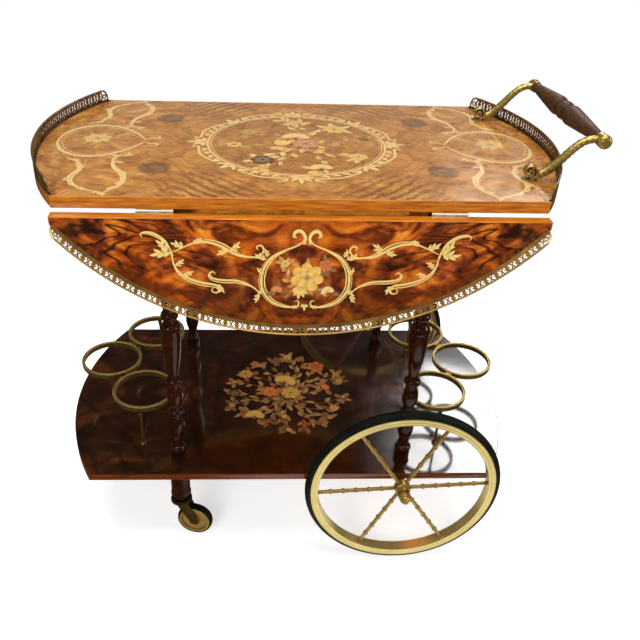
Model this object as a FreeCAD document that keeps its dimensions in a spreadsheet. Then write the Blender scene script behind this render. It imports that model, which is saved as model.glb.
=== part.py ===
"""A drop-leaf bar cart: a veneered top, a lower shelf, bottle racks, two wheels and two casters.

The origin is on the floor under the centre of the top. X runs along the cart towards the push
handle, Y runs away from the viewer across the cart, Z is up. Lengths are millimetres.
"""
import FreeCAD
import Part
import Sketcher
import math
import os
import re

Vector = FreeCAD.Vector

# Driving sizes: lengths in millimetres, angles in degrees
SIZES = {
    # table top and its bowed ends
    "top_height": 720.0,
    "board_thickness": 18.0,
    "top_half_length": 350.0,
    "top_half_width": 237.0,
    "top_end_bow": 68.0,
    "edge_bevel": 0.9,
    # drop leaves and their hinges
    "leaf_depth": 177.0,
    "leaf_side": 12.0,
    "leaf_gap": 0.6,
    "hinge_drop": 3.4,
    "hinge_spacing": 208.0,
    "hinge_length": 52.0,
    "hinge_plate_reach": 24.0,
    "hinge_plate_thickness": 1.6,
    "knuckle_radius": 2.7,
    "knuckle_gap": 0.4,
    "hinge_pin_radius": 1.2,
    "running_clearance": 0.05,
    # pierced brass galleries
    "gallery_height": 22.0,
    "gallery_wall": 1.6,
    "gallery_flange": 10.0,
    "gallery_flange_thickness": 1.4,
    "gallery_hole_radius": 5.0,
    "gallery_hole_height": 11.5,
    "gallery_hole_pitch": 12.4,
    # apron under the top and the pull-out bars that carry a raised leaf
    "leg_offset_x": 205.0,
    "leg_setback": 57.0,
    "leg_head": 34.0,
    "apron_height": 50.0,
    "apron_thickness": 20.0,
    "loper_width": 38.0,
    "loper_height": 20.0,
    "loper_length": 330.0,
    "loper_offset": 62.0,
    "loper_inset": 3.0,
    "loper_clearance": 0.4,
    "batten_half_length": 150.0,
    "batten_setback": 3.0,
    "batten_width": 12.0,
    "batten_height": 12.0,
    # turned legs, from the shelf upwards
    "plinth_radius": 13.0,
    "plinth_tall": 9.0,
    "leg_neck": 9.5,
    "leg_bead": 14.5,
    "leg_bead_tall": 15.0,
    "lower_gap": 16.0,
    "leg_bulb": 14.0,
    "lower_bulb_tall": 46.0,
    "bulb_gap": 5.0,
    "upper_bulb_tall": 42.0,
    "vase_neck": 8.0,
    "vase_gap": 6.0,
    "vase_shoulder": 16.5,
    "vase_tall": 88.0,
    "vase_swell": 2.5,
    "shoulder_tall": 18.0,
    "shoulder_swell": 3.0,
    "column_flare": 24.0,
    "column_radius": 13.5,
    "leg_tenon_radius": 9.0,
    "tenon_clearance": 0.1,
    # lower shelf
    "shelf_thickness": 13.5,
    "shelf_half_length": 357.0,
    "shelf_half_width": 234.0,
    "shelf_end_bow": 62.0,
    # turned feet on the caster side
    "foot_length": 95.0,
    "foot_radius": 17.5,
    "foot_end_radius": 12.0,
    "foot_round": 20.0,
    "foot_swell": 3.5,
    "foot_socket": 16.0,
    # casters
    "caster_wheel_radius": 34.0,
    "caster_wheel_width": 14.0,
    "caster_tyre": 4.5,
    "caster_crown": 1.8,
    "caster_boss_radius": 9.0,
    "caster_web": 7.0,
    "caster_lip": 3.5,
    "caster_trail": 25.0,
    "caster_yaw": 12.0,
    "caster_stem_radius": 4.0,
    "caster_stem_length": 26.0,
    "caster_plate_radius": 18.0,
    "caster_plate": 2.5,
    "caster_pin_radius": 4.0,
    "caster_rivet_radius": 7.0,
    "caster_rivet": 2.5,
    "horn_radius": 20.0,
    "horn_plate": 3.0,
    "horn_cheek": 2.2,
    "horn_end": 9.0,
    "horn_heel": 13.0,
    "horn_toe": 14.0,
    "horn_clearance": 0.5,
    "caster_axle_radius": 2.5,
    "caster_axle_head": 1.6,
    "caster_axle_head_radius": 5.0,
    # large wheels on the handle side
    "wheel_radius": 174.5,
    "wheel_offset_x": 197.0,
    "wheel_side_gap": 3.0,
    "wheel_rest_turn": 4.0,
    "tyre_tall": 10.0,
    "rim_width": 20.0,
    "rim_depth": 13.0,
    "rim_groove": 4.0,
    "rim_hollow": 2.2,
    "rim_groove_width": 12.0,
    "spoke_count": 6,
    "spoke_radius": 3.4,
    "spoke_bead": 1.4,
    "spoke_ring_count": 5,
    "spoke_ring_tall": 6.0,
    "spoke_peg_radius": 2.0,
    "spoke_peg": 6.0,
    "spoke_shoulder": 0.4,
    "hub_radius": 14.0,
    "hub_waist": 11.0,
    "hub_nose": 17.0,
    "hub_seat": 12.0,
    "hub_taper": 2.5,
    "axle_radius": 5.0,
    "axle_beam_width": 40.0,
    "axle_beam_height": 21.0,
    "axle_beam_setback": 36.0,
    "axle_drop": 8.0,
    "axle_groove_clearance": 0.1,
    "axle_end_gap": 0.4,
    "spacer_clearance": 1.0,
    "hub_cap_radius": 9.0,
    "hub_cap_length": 22.0,
    "hub_cap_bore": 10.0,
    "hub_cap_belly": 1.1,
    "hub_cap_collar": 5.4,
    "hub_cap_shoulder": 8.4,
    "hub_cap_swell": 0.5,
    "hub_cap_tip": 1.2,
    # bottle racks
    "ring_outer_radius": 57.0,
    "ring_band": 4.5,
    "ring_tall": 9.0,
    "ring_crown": 0.75,
    "ring_height": 76.0,
    "middle_ring_x": 347.0,
    "side_ring_x": 272.0,
    "side_ring_y": 98.0,
    "ring_link_radius": 7.0,
    "rod_radius": 2.3,
    "rod_foot_radius": 6.0,
    "rod_foot_tall": 4.0,
    "rod_foot_edge": 2.0,
    "rod_collar_radius": 4.2,
    "rod_collar_tall": 14.0,
    "rod_collar_edge": 3.5,
    # push handle
    "handle_foot_inset": 6.0,
    "handle_arm_y": 150.0,
    "handle_reach": 98.0,
    "handle_rise": 63.0,
    "arm_radius": 5.4,
    "arm_start_height": 8.0,
    "arm_slope": 40.0,
    "arm_lower_radius": 36.0,
    "scroll_radius": 12.0,
    "scroll_width": 13.0,
    "scroll_foot_radius": 10.5,
    "scroll_foot_tall": 4.8,
    "eye_radius": 10.0,
    "eye_width": 13.0,
    "handle_bolt_radius": 3.0,
    "grip_end_radius": 8.5,
    "grip_swell_radius": 16.0,
    "grip_neck_radius": 9.5,
    "grip_bead_radius": 15.5,
    "grip_bead_length": 33.0,
    "grip_ferrule": 12.0,
    "grip_shoulder": 16.0,
    "grip_shoulder_bow": 2.2,
    "grip_swell_bow": 0.2,
    "cap_radius": 10.5,
    "cap_length": 11.0,
    "cap_bore": 5.0,
    "cap_dome": 2.6,
    "cap_tip": 1.5,
}

doc = FreeCAD.newDocument("bar_cart")
sheet = doc.addObject("Spreadsheet::Sheet", "Sizes")
for row, (size_name, size_value) in enumerate(SIZES.items(), start=1):
    sheet.set("A%d" % row, size_name)
    sheet.set("B%d" % row, str(size_value))
    sheet.setAlias("B%d" % row, size_name)
doc.recompute()

nodes = []


def bound(text):
    """Turn a plain formula of size names into one that reads the sheet."""
    return re.sub(r"[a-z_]+", lambda m: "Sizes." + m[0] if m[0] in SIZES else m[0], text)


def measure(text):
    """The present value of a formula of size names."""
    value = sheet.evalExpression(bound(text))
    return float(getattr(value, "Value", value))


def bind(item, path, text):
    item.setExpression(path, bound(text))


def keep(item, label):
    """Name a finished sub-part and put it on the list of those that are written."""
    item.Label = label
    nodes.append(item)
    return item


def place(item, x="0", y="0", z="0", turn=FreeCAD.Rotation()):
    item.Placement = FreeCAD.Placement(Vector(measure(x), measure(y), measure(z)), turn)
    for axis, text in zip("xyz", (x, y, z)):
        bind(item, "Placement.Base." + axis, text)
    return item


def axes(x_axis, y_axis, z_axis):
    return FreeCAD.Rotation(Vector(*x_axis), Vector(*y_axis), Vector(*z_axis), "ZXY")


# Rotations that several pieces share
ABOUT_Z = Vector(0, 0, 1)
Z_TO_FRONT = axes((1, 0, 0), (0, 0, 1), (0, -1, 0))
Z_TO_REAR = axes((1, 0, 0), (0, 0, -1), (0, 1, 0))
Z_TO_X = axes((0, 1, 0), (0, 0, 1), (1, 0, 0))
HALF_TURN = FreeCAD.Rotation(ABOUT_Z, 180)
HANG_FRONT = axes((-1, 0, 0), (0, 0, -1), (0, -1, 0))
HANG_REAR = axes((1, 0, 0), (0, 0, -1), (0, 1, 0))


# Sketches and the features made from them

def new_body(name):
    return doc.addObject("PartDesign::Body", name)


def origin_feature(body, role):
    return next(item for item in body.Origin.OriginFeatures if item.Role == role)


def new_sketch(body, name, role, lift="0"):
    sketch = body.newObject("Sketcher::SketchObject", name)
    sketch.AttachmentSupport = [(origin_feature(body, role), "")]
    sketch.MapMode = "FlatFace"
    bind(sketch, "AttachmentOffset.Base.z", lift)
    return sketch


def pin_point(sketch, edge, end, x, y):
    """Hold one end of an edge at formulas of size names, measured from the sketch's origin."""
    for kind, text in (("DistanceX", x), ("DistanceY", y)):
        rule = Sketcher.Constraint(kind, -1, 1, edge, end, measure(text))
        bind(sketch, "Constraints[%d]" % sketch.addConstraint(rule), text)


def draw(sketch, corners, closed=True):
    """Draw a chain of edges. A corner is (x, y), or (x, y, bow) where the edge that leaves it is an
    arc that swells by bow to the right of the way the chain runs."""
    points = [Vector(measure(corner[0]), measure(corner[1]), 0) for corner in corners]
    count = len(corners) if closed else len(corners) - 1
    edges = []
    for index in range(count):
        start = points[index]
        after = (index + 1) % len(corners)
        run = points[after] - start
        if len(corners[index]) == 2:
            edges.append(sketch.addGeometry(Part.LineSegment(start, points[after]), False))
            continue
        bow = corners[index][2]
        side = Vector(run.y, -run.x, 0).normalize()
        crown = start + run * 0.5 + side * measure(bow)
        edges.append(sketch.addGeometry(Part.Arc(start, crown, points[after]), False))
    for index, edge in enumerate(edges):
        corner = corners[index]
        following = corners[(index + 1) % len(corners)]
        first, last = ends_in_order(sketch, edge, points[index])
        pin_point(sketch, edge, first, corner[0], corner[1])
        if closed or index < count - 1:
            next_edge = edges[(index + 1) % len(edges)]
            next_first = ends_in_order(sketch, next_edge, points[(index + 1) % len(corners)])[0]
            sketch.addConstraint(Sketcher.Constraint("Coincident", edge, last, next_edge, next_first))
        else:
            pin_point(sketch, edge, last, following[0], following[1])
        if len(corner) == 3:
            hold_centre(sketch, edge, corner, following)


def hold_centre(sketch, edge, corner, following):
    """Hold an arc's centre on the line square to its chord, so that the arc swells by its bow."""
    bow = corner[2]
    across = "((%s) - (%s))" % (following[0], corner[0])
    up = "((%s) - (%s))" % (following[1], corner[1])
    chord = "sqrt(%s^2 + %s^2)" % (across, up)
    back = "((%s) / 2 - %s^2 / (8 * (%s)))" % (bow, chord, bow)
    if abs(measure(up)) > abs(measure(across)):
        kind = "DistanceX"
        text = "((%s) + (%s)) / 2 + %s / %s * %s" % (corner[0], following[0], up, chord, back)
    else:
        kind = "DistanceY"
        text = "((%s) + (%s)) / 2 - %s / %s * %s" % (corner[1], following[1], across, chord, back)
    rule = Sketcher.Constraint(kind, -1, 1, edge, 3, measure(text))
    bind(sketch, "Constraints[%d]" % sketch.addConstraint(rule), text)


def ends_in_order(sketch, edge, start):
    """An arc is stored counter-clockwise, so its first end may be the end of the chain's edge."""
    return (1, 2) if sketch.getPoint(edge, 1).distanceToPoint(start) < 1e-6 else (2, 1)


def draw_round(sketch, x, y, radius):
    centre = Vector(measure(x), measure(y), 0)
    edge = sketch.addGeometry(Part.Circle(centre, ABOUT_Z, measure(radius)), False)
    pin_point(sketch, edge, 3, x, y)
    rule = Sketcher.Constraint("Radius", edge, measure(radius))
    bind(sketch, "Constraints[%d]" % sketch.addConstraint(rule), radius)


def pad(body, name, sketch, length):
    feature = body.newObject("PartDesign::Pad", name)
    feature.Profile = sketch
    bind(feature, "Length", length)
    return feature


def turn_about(body, name, sketch, axis="V_Axis"):
    feature = body.newObject("PartDesign::Revolution", name)
    feature.Profile = sketch
    feature.ReferenceAxis = (sketch, [axis])
    feature.Angle = 360
    return feature


def turned(name, profile):
    """A lathe-turned piece about its own Z axis. The profile is (radius, height) corners."""
    body = new_body(name)
    sketch = new_sketch(body, name + "_profile", "XZ_Plane")
    draw(sketch, profile)
    turn_about(body, name + "_turning", sketch)
    return body


def ease_edges(body, base, size, heights):
    """Bevel the long edges of a board that lie at the given heights in the board's own frame."""
    doc.recompute()
    levels = [measure(text) for text in heights]
    picked = []
    for number, edge in enumerate(base.Shape.Edges, start=1):
        ends = {round(vertex.Point.z, 4) for vertex in edge.Vertexes}
        if len(edge.Vertexes) == 2 and any(ends == {round(level, 4)} for level in levels):
            picked.append("Edge%d" % number)
    bevel = body.newObject("PartDesign::Chamfer", body.Name + "_eased")
    bevel.Base = (base, picked)
    bind(bevel, "Size", size)
    return bevel


# Plain solids and how they are joined

def block(name, length, width, height):
    item = doc.addObject("Part::Box", name)
    for side, text in (("Length", length), ("Width", width), ("Height", height)):
        bind(item, side, text)
    return item


def rod(name, radius, length):
    item = doc.addObject("Part::Cylinder", name)
    bind(item, "Radius", radius)
    bind(item, "Height", length)
    return item


def cut(name, base, tool):
    item = doc.addObject("Part::Cut", name)
    item.Base = base
    item.Tool = tool
    return item


def fuse(name, items):
    item = doc.addObject("Part::MultiFuse", name)
    item.Shapes = items
    return item


def group(name, items):
    item = doc.addObject("Part::Compound", name)
    item.Links = items
    return item


# Boards: the top, the leaves and the shelf

TOP_UNDERSIDE = "top_height - board_thickness"
HINGE_HEIGHT = "top_height - board_thickness - hinge_drop"
SHELF_UNDERSIDE = "(wheel_radius + axle_drop)"
SHELF_TOP = "(wheel_radius + axle_drop + shelf_thickness)"
LEG_Y = "(top_half_width - leg_setback)"


def bowed_board(sketch, half_length, half_width, bow):
    draw(sketch, [
        ("-" + half_length, "-" + half_width),
        (half_length, "-" + half_width, bow),
        (half_length, half_width),
        ("-" + half_length, half_width, bow),
    ])


def make_table_top():
    body = new_body("TableTop")
    sketch = new_sketch(body, "top_outline", "XY_Plane")
    bowed_board(sketch, "top_half_length", "top_half_width", "top_end_bow")
    board = pad(body, "top_board", sketch, "board_thickness")
    ease_edges(body, board, "edge_bevel", ["0", "board_thickness"])
    keep(place(body, z=TOP_UNDERSIDE), "table_top")


def make_leaf(label, side, turn):
    """A half-moon leaf drawn level, with the hinge axis as its own X axis, then hung."""
    body = new_body(label)
    sketch = new_sketch(body, label + "_outline", "XY_Plane", "hinge_drop")
    draw(sketch, [
        ("top_half_length", "leaf_gap"),
        ("top_half_length", "leaf_side", "leaf_depth - leaf_side"),
        ("-top_half_length", "leaf_side"),
        ("-top_half_length", "leaf_gap"),
    ])
    board = pad(body, label + "_board", sketch, "board_thickness")
    ease_edges(body, board, "edge_bevel", ["hinge_drop", "hinge_drop + board_thickness"])
    keep(place(body, y=side + "top_half_width", z=HINGE_HEIGHT, turn=turn), label)


def make_shelf():
    body = new_body("LowerShelf")
    sketch = new_sketch(body, "shelf_outline", "XY_Plane")
    bowed_board(sketch, "shelf_half_length", "shelf_half_width", "shelf_end_bow")
    for x in ("-leg_offset_x", "leg_offset_x"):
        for y in ("-" + LEG_Y, LEG_Y):
            draw_round(sketch, x, y, "leg_tenon_radius + tenon_clearance")
    board = pad(body, "shelf_board", sketch, "shelf_thickness")
    ease_edges(body, board, "edge_bevel", ["0", "shelf_thickness"])
    keep(place(body, z=SHELF_UNDERSIDE), "lower_shelf")


# Pierced brass galleries

def gallery_band(body, name, half, bow, width, height):
    """A strip along an arc that rises over a chord on the X axis, as wide inwards as width."""
    radius = "((%s)^2 / (2 * (%s)) + (%s) / 2)" % (half, bow, bow)
    inner_half = "sqrt((%s - %s)^2 - (%s - (%s))^2)" % (radius, width, radius, bow)
    inner_bow = "(%s) - %s" % (bow, width)
    sketch = new_sketch(body, name + "_outline", "XY_Plane")
    draw(sketch, [
        (half, "0", bow),
        ("-(%s)" % half, "0"),
        ("-%s" % inner_half, "0", "-(%s)" % inner_bow),
        (inner_half, "0"),
    ])
    return pad(body, name, sketch, height)


def piercing(name, half, bow):
    """Short drills that stand square to the gallery wall, evenly along its arc."""
    rise = measure(bow)
    radius = measure(half) ** 2 / (2 * rise) + rise / 2
    wall = measure("gallery_wall")
    reach = math.asin(measure(half) / radius)
    count = int(2 * reach * radius / measure("gallery_hole_pitch")) - 1
    step = 2 * reach / (count + 1)
    drills = []
    for number in range(count):
        angle = math.pi / 2 - reach + step * (number + 1)
        outward = Vector(math.cos(angle), math.sin(angle), 0)
        start = Vector(0, rise - radius, measure("gallery_hole_height")) + outward * (radius - 2 * wall)
        drills.append(Part.makeCylinder(measure("gallery_hole_radius"), 3 * wall, start, outward))
    item = doc.addObject("Part::Feature", name)
    item.Shape = Part.makeCompound(drills)
    return item


def make_gallery(label, half, bow, x="0", y="0", z="0", turn=FreeCAD.Rotation()):
    body = new_body(label + "_strip")
    gallery_band(body, label + "_wall", half, bow, "gallery_wall", "gallery_height")
    gallery_band(body, label + "_flange", half, bow, "gallery_flange", "gallery_flange_thickness")
    pierced = cut(label, body, piercing(label + "_holes", half, bow))
    keep(place(pierced, x, y, z, turn), label)


def make_galleries():
    left_turn = axes((0, 1, 0), (-1, 0, 0), (0, 0, 1))
    right_turn = axes((0, -1, 0), (1, 0, 0), (0, 0, 1))
    for label, x, turn in (
        ("top_gallery_left", "-top_half_length", left_turn),
        ("top_gallery_right", "top_half_length", right_turn),
    ):
        make_gallery(label, "top_half_width", "top_end_bow", x, "0", "top_height", turn)
    leaf_bow = "leaf_depth - leaf_side"
    leaf_edge = HINGE_HEIGHT + " - leaf_side"
    foot = "(top_half_width + hinge_drop + board_thickness)"
    for label, y, turn in (
        ("front_leaf_gallery", "-" + foot, HANG_FRONT),
        ("rear_leaf_gallery", foot, HANG_REAR),
    ):
        make_gallery(label, "top_half_length", leaf_bow, "0", y, leaf_edge, turn)


# Hinges

def hinge_leaf(name, middle_knuckle, bore):
    """One plate of a butt hinge in the hinge's own frame: the pin along X, the plate towards +Y."""
    third = "hinge_length / 3"
    tab_from = "knuckle_radius + knuckle_gap"
    plate_under = "hinge_drop - hinge_plate_thickness"
    reach = "hinge_plate_reach - (%s)" % tab_from
    plate = block(name + "_plate", "hinge_length", reach, "hinge_plate_thickness")
    place(plate, "-hinge_length / 2", tab_from, plate_under)
    if middle_knuckle:
        starts = ["-hinge_length / 6 + knuckle_gap"]
        length = third + " - 2 * knuckle_gap"
    else:
        starts = ["-hinge_length / 2", "hinge_length / 6"]
        length = third
    pieces = [plate]
    for number, start in enumerate(starts):
        tab = block("%s_tab_%d" % (name, number), length, tab_from, "hinge_plate_thickness")
        knuckle = rod("%s_knuckle_%d" % (name, number), "knuckle_radius", length)
        pieces.append(place(tab, start, "0", plate_under))
        pieces.append(place(knuckle, start, turn=Z_TO_X))
    drill = rod(name + "_drill", bore, "hinge_length")
    place(drill, "-hinge_length / 2", turn=Z_TO_X)
    return cut(name, fuse(name + "_solid", pieces), drill)


def make_hinges(label, side, fixed_turn, leaf_turn, leaf_label):
    hinge_y = side + "top_half_width"
    fixed, swinging, pins = [], [], []
    for number, x in enumerate(("-hinge_spacing", "hinge_spacing")):
        plate = hinge_leaf("%s_plate_%d" % (label, number), False, "hinge_pin_radius")
        fixed.append(place(plate, x, hinge_y, HINGE_HEIGHT, fixed_turn))
        bore = "hinge_pin_radius + running_clearance"
        flap = hinge_leaf("%s_flap_%d" % (label, number), True, bore)
        swinging.append(place(flap, x, hinge_y, HINGE_HEIGHT, leaf_turn))
        pin = rod("%s_pin_%d" % (label, number), "hinge_pin_radius", "hinge_length")
        pins.append(place(pin, x + " - hinge_length / 2", hinge_y, HINGE_HEIGHT, Z_TO_X))
    keep(group(label + "_plates", fixed), label + "_plates")
    keep(group(label + "_pins", pins), label + "_pins")
    keep(group(label + "_flaps", swinging), leaf_label + "_hinge_flaps")


# Apron rails between the leg heads, and the pull-out bars that slide in their notches

APRON_FOOT = TOP_UNDERSIDE + " - apron_height"


def make_apron():
    long_rail = "2 * leg_offset_x - leg_head"
    for label, side in (("apron_front", "-"), ("apron_rear", "")):
        rail = block(label + "_rail", long_rail, "apron_thickness", "apron_height")
        near_face = side + LEG_Y + " - apron_thickness / 2"
        place(rail, "leg_head / 2 - leg_offset_x", near_face, APRON_FOOT)
        notches = []
        for number, x in enumerate(("-loper_offset", "loper_offset")):
            notch = block("%s_notch_%d" % (label, number), "loper_width + 2 * loper_clearance",
                          "apron_thickness", "loper_height + 2 * loper_clearance")
            place(notch, x + " - loper_width / 2 - loper_clearance", near_face,
                  TOP_UNDERSIDE + " - loper_height - 2 * loper_clearance")
            notches.append(notch)
        keep(cut(label, rail, fuse(label + "_notches", notches)), label)
    for label, side in (("apron_left", "-"), ("apron_right", "")):
        rail = block(label, "apron_thickness", "2 * %s - leg_head" % LEG_Y, "apron_height")
        place(rail, side + "leg_offset_x - apron_thickness / 2", "leg_head / 2 - " + LEG_Y, APRON_FOOT)
        keep(rail, label)


def make_lopers():
    level = TOP_UNDERSIDE + " - loper_height - loper_clearance"
    front = block("loper_front", "loper_width", "loper_length", "loper_height")
    place(front, "-loper_offset - loper_width / 2", "loper_inset - top_half_width", level)
    keep(front, "loper_front")
    rear = block("loper_rear", "loper_width", "loper_length", "loper_height")
    place(rear, "loper_offset - loper_width / 2", "top_half_width - loper_inset - loper_length", level)
    keep(rear, "loper_rear")


def make_battens():
    """Strips under the long edges of the top close the slot above each leaf. A loper passes each."""
    half_way = "(loper_width / 2 + loper_clearance)"
    for row, side, loper in (("front", "-", "-loper_offset"), ("rear", "", "loper_offset")):
        near_face = side + "(top_half_width - batten_setback - batten_width / 2) - batten_width / 2"
        low_end = "(batten_half_length + %s - %s)" % (loper, half_way)
        high_end = "(batten_half_length - %s - %s)" % (loper, half_way)
        strips = []
        for part, x, length in (("low", "-batten_half_length", low_end),
                                ("high", "batten_half_length - " + high_end, high_end)):
            strip = block("batten_%s_%s" % (row, part), length, "batten_width", "batten_height")
            strips.append(place(strip, x, near_face, TOP_UNDERSIDE + " - batten_height"))
        keep(group("battens_" + row, strips), "edge_batten_" + row)


# Turned legs

def bead(profile, level, neck, crown, tall):
    """Add a swelling from neck up to crown and back to a turned profile, and return where it ends."""
    profile.append((neck, level, "%s - %s" % (crown, neck)))
    after = level + " + " + tall
    profile.append((neck, after))
    return after


def leg_profile(tenon):
    """Corners of a leg from the tenon below the shelf to the foot of its square head."""
    head_foot = "%s - %s" % (APRON_FOOT, SHELF_TOP)
    profile = [("0", "-(%s)" % tenon), ("leg_tenon_radius", "-(%s)" % tenon), ("leg_tenon_radius", "0")]
    profile.append(("plinth_radius", "0"))
    profile.append(("plinth_radius", "plinth_tall"))
    level = bead(profile, "plinth_tall", "leg_neck", "leg_bead", "leg_bead_tall")
    level = bead(profile, level + " + lower_gap", "leg_neck", "leg_bulb", "lower_bulb_tall")
    level = bead(profile, level + " + bulb_gap", "leg_neck", "leg_bead", "leg_bead_tall")
    level = bead(profile, level + " + bulb_gap", "leg_neck", "leg_bulb", "upper_bulb_tall")
    level = bead(profile, level + " + bulb_gap", "leg_neck", "leg_bead", "leg_bead_tall")
    level = level + " + vase_gap"
    profile.append(("vase_neck", level, "vase_swell"))
    level = level + " + vase_tall"
    profile.append(("vase_shoulder", level, "shoulder_swell"))
    level = level + " + shoulder_tall"
    profile.append(("leg_neck", level))
    level = bead(profile, level + " + bulb_gap", "leg_neck", "leg_bead", "leg_bead_tall")
    profile.append(("column_radius", level + " + column_flare"))
    profile.append(("column_radius", head_foot))
    profile.append(("0", head_foot))
    return profile


def make_legs():
    half = "leg_head / 2"
    head_foot = "%s - %s" % (APRON_FOOT, SHELF_TOP)
    for end, x, tenon in (
        ("left", "-leg_offset_x", "shelf_thickness + foot_socket"),
        ("right", "leg_offset_x", "shelf_thickness"),
    ):
        for row, y in (("front", "-" + LEG_Y), ("rear", LEG_Y)):
            label = "leg_%s_%s" % (row, end)
            body = turned(label, leg_profile(tenon))
            head = new_sketch(body, label + "_head_outline", "XY_Plane", head_foot)
            draw(head, [("-" + half, "-" + half), (half, "-" + half), (half, half), ("-" + half, half)])
            pad(body, label + "_head", head, "apron_height")
            keep(place(body, x, y, SHELF_TOP), label)


# Feet and casters

FOOT_BOTTOM = "(wheel_radius + axle_drop - foot_length)"
HORN_TOP = "-caster_plate - axle_end_gap"
HORN_UNDER = HORN_TOP + " - horn_plate"
RIVET_TOP = HORN_UNDER + " - axle_end_gap"
CASTER_AXLE = "caster_wheel_radius - %s" % FOOT_BOTTOM
CHEEK_GAP = "caster_wheel_width / 2 + horn_clearance"


def make_foot(label, y):
    socket = "leg_tenon_radius + tenon_clearance"
    stem_bore = "caster_stem_radius + tenon_clearance"
    body = turned(label, [
        (stem_bore, "-foot_length"),
        ("foot_end_radius", "-foot_length", "foot_swell"),
        ("foot_radius", "foot_round - foot_length"),
        ("foot_radius", "0"),
        (socket, "0"),
        (socket, "-foot_socket"),
        ("0", "-foot_socket"),
        ("0", "caster_stem_length - foot_length"),
        (stem_bore, "caster_stem_length - foot_length"),
    ])
    keep(place(body, "-leg_offset_x", y, SHELF_UNDERSIDE), label)


def make_caster_socket(label, y):
    body = turned(label, [
        ("0", RIVET_TOP + " - caster_rivet"),
        ("caster_rivet_radius", RIVET_TOP + " - caster_rivet"),
        ("caster_rivet_radius", RIVET_TOP),
        ("caster_pin_radius", RIVET_TOP),
        ("caster_pin_radius", "-caster_plate"),
        ("caster_plate_radius", "-caster_plate"),
        ("caster_plate_radius", "0"),
        ("caster_stem_radius", "0"),
        ("caster_stem_radius", "caster_stem_length"),
        ("0", "caster_stem_length"),
    ])
    keep(place(body, "-leg_offset_x", y, FOOT_BOTTOM), label)


def make_horn(label, y):
    """The swivelling fork: a drilled disc with a cheek on each side of the wheel, and its axle pin."""
    yaw = FreeCAD.Rotation(ABOUT_Z, -measure("caster_yaw"))
    body = new_body(label + "_fork")
    disc = new_sketch(body, label + "_disc", "XY_Plane", HORN_UNDER)
    draw_round(disc, "0", "0", "horn_radius")
    draw_round(disc, "0", "0", "caster_pin_radius + running_clearance")
    pad(body, label + "_disc_plate", disc, "horn_plate")
    for number, lift in enumerate((CHEEK_GAP, "-(%s) - horn_cheek" % CHEEK_GAP)):
        cheek = new_sketch(body, "%s_cheek_%d" % (label, number), "XZ_Plane", lift)
        draw(cheek, [
            ("-horn_heel", HORN_UNDER),
            ("caster_trail - horn_end", CASTER_AXLE, "horn_end"),
            ("caster_trail + horn_end", CASTER_AXLE),
            ("horn_toe", HORN_UNDER),
            ("horn_toe", HORN_TOP),
            ("-horn_heel", HORN_TOP),
        ])
        pad(body, "%s_cheek_plate_%d" % (label, number), cheek, "horn_cheek")
    place(body, "-leg_offset_x", y, FOOT_BOTTOM, yaw)
    drill = rod(label + "_drill", "caster_axle_radius", "2 * (%s) + 4 * horn_cheek" % CHEEK_GAP)
    half_span = "((%s) + horn_cheek)" % CHEEK_GAP
    side_turn = yaw.multiply(Z_TO_FRONT)
    place(drill, *along_caster(y, half_span + " + horn_cheek"), side_turn)
    pin = rod(label + "_pin_shank", "caster_axle_radius", "2 * " + half_span)
    place(pin, *along_caster(y, half_span), side_turn)
    heads = []
    for number, start in enumerate((half_span + " + caster_axle_head", "-" + half_span)):
        head = rod("%s_pin_head_%d" % (label, number), "caster_axle_head_radius", "caster_axle_head")
        heads.append(place(head, *along_caster(y, start), side_turn))
    fork = cut(label + "_drilled", body, drill)
    keep(group(label, [fork, fuse(label + "_pin", [pin] + heads)]), label)


def along_caster(y, back):
    """A point on the caster wheel's axle line, a given way behind the wheel's middle plane."""
    x = "-leg_offset_x + caster_trail * cos(caster_yaw) + (%s) * sin(caster_yaw)" % back
    across = "%s - caster_trail * sin(caster_yaw) + (%s) * cos(caster_yaw)" % (y, back)
    return x, across, "caster_wheel_radius"


def make_caster_wheel(label, y):
    turn = FreeCAD.Rotation(ABOUT_Z, -measure("caster_yaw")).multiply(Z_TO_FRONT)
    half = "caster_wheel_width / 2"
    rim = "caster_wheel_radius - caster_tyre"
    bore = "caster_axle_radius + running_clearance"
    boss = "caster_boss_radius"
    web = "caster_web / 2"
    lip = "(%s) - caster_lip" % rim
    wheel = turned(label + "_wheel", [
        (bore, "-" + half), (boss, "-" + half), (boss, "-" + web), (lip, "-" + web),
        (lip, "-" + half), (rim, "-" + half), (rim, half), (lip, half),
        (lip, web), (boss, web), (boss, half), (bore, half),
    ])
    keep(place(wheel, *along_caster(y, "0"), turn), label + "_wheel")
    shoulder = "caster_wheel_radius - caster_crown"
    tyre = turned(label + "_tyre", [
        (rim, "-" + half), (shoulder, "-" + half, "caster_crown"), (shoulder, half), (rim, half),
    ])
    keep(place(tyre, *along_caster(y, "0"), turn), label + "_tyre")


def make_casters():
    for row, y in (("front", "-" + LEG_Y), ("rear", LEG_Y)):
        make_foot("caster_foot_" + row, y)
        make_caster_socket("caster_socket_" + row, y)
        make_horn("caster_horn_" + row, y)
        make_caster_wheel("caster_" + row, y)


# Axle and large wheels

RIM_OUTER = "(wheel_radius - tyre_tall)"
RIM_INNER = "(wheel_radius - tyre_tall - rim_depth)"
WHEEL_PLANE = "(shelf_half_width + wheel_side_gap + rim_width / 2)"
HUB_IN = "(shelf_half_width + wheel_side_gap)"
HUB_OUT = "(%s + hub_nose)" % WHEEL_PLANE
BEAM_HALF = "(shelf_half_width - axle_beam_setback)"
AXLE_HALF = "(%s + axle_end_gap + hub_cap_bore)" % HUB_OUT


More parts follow.
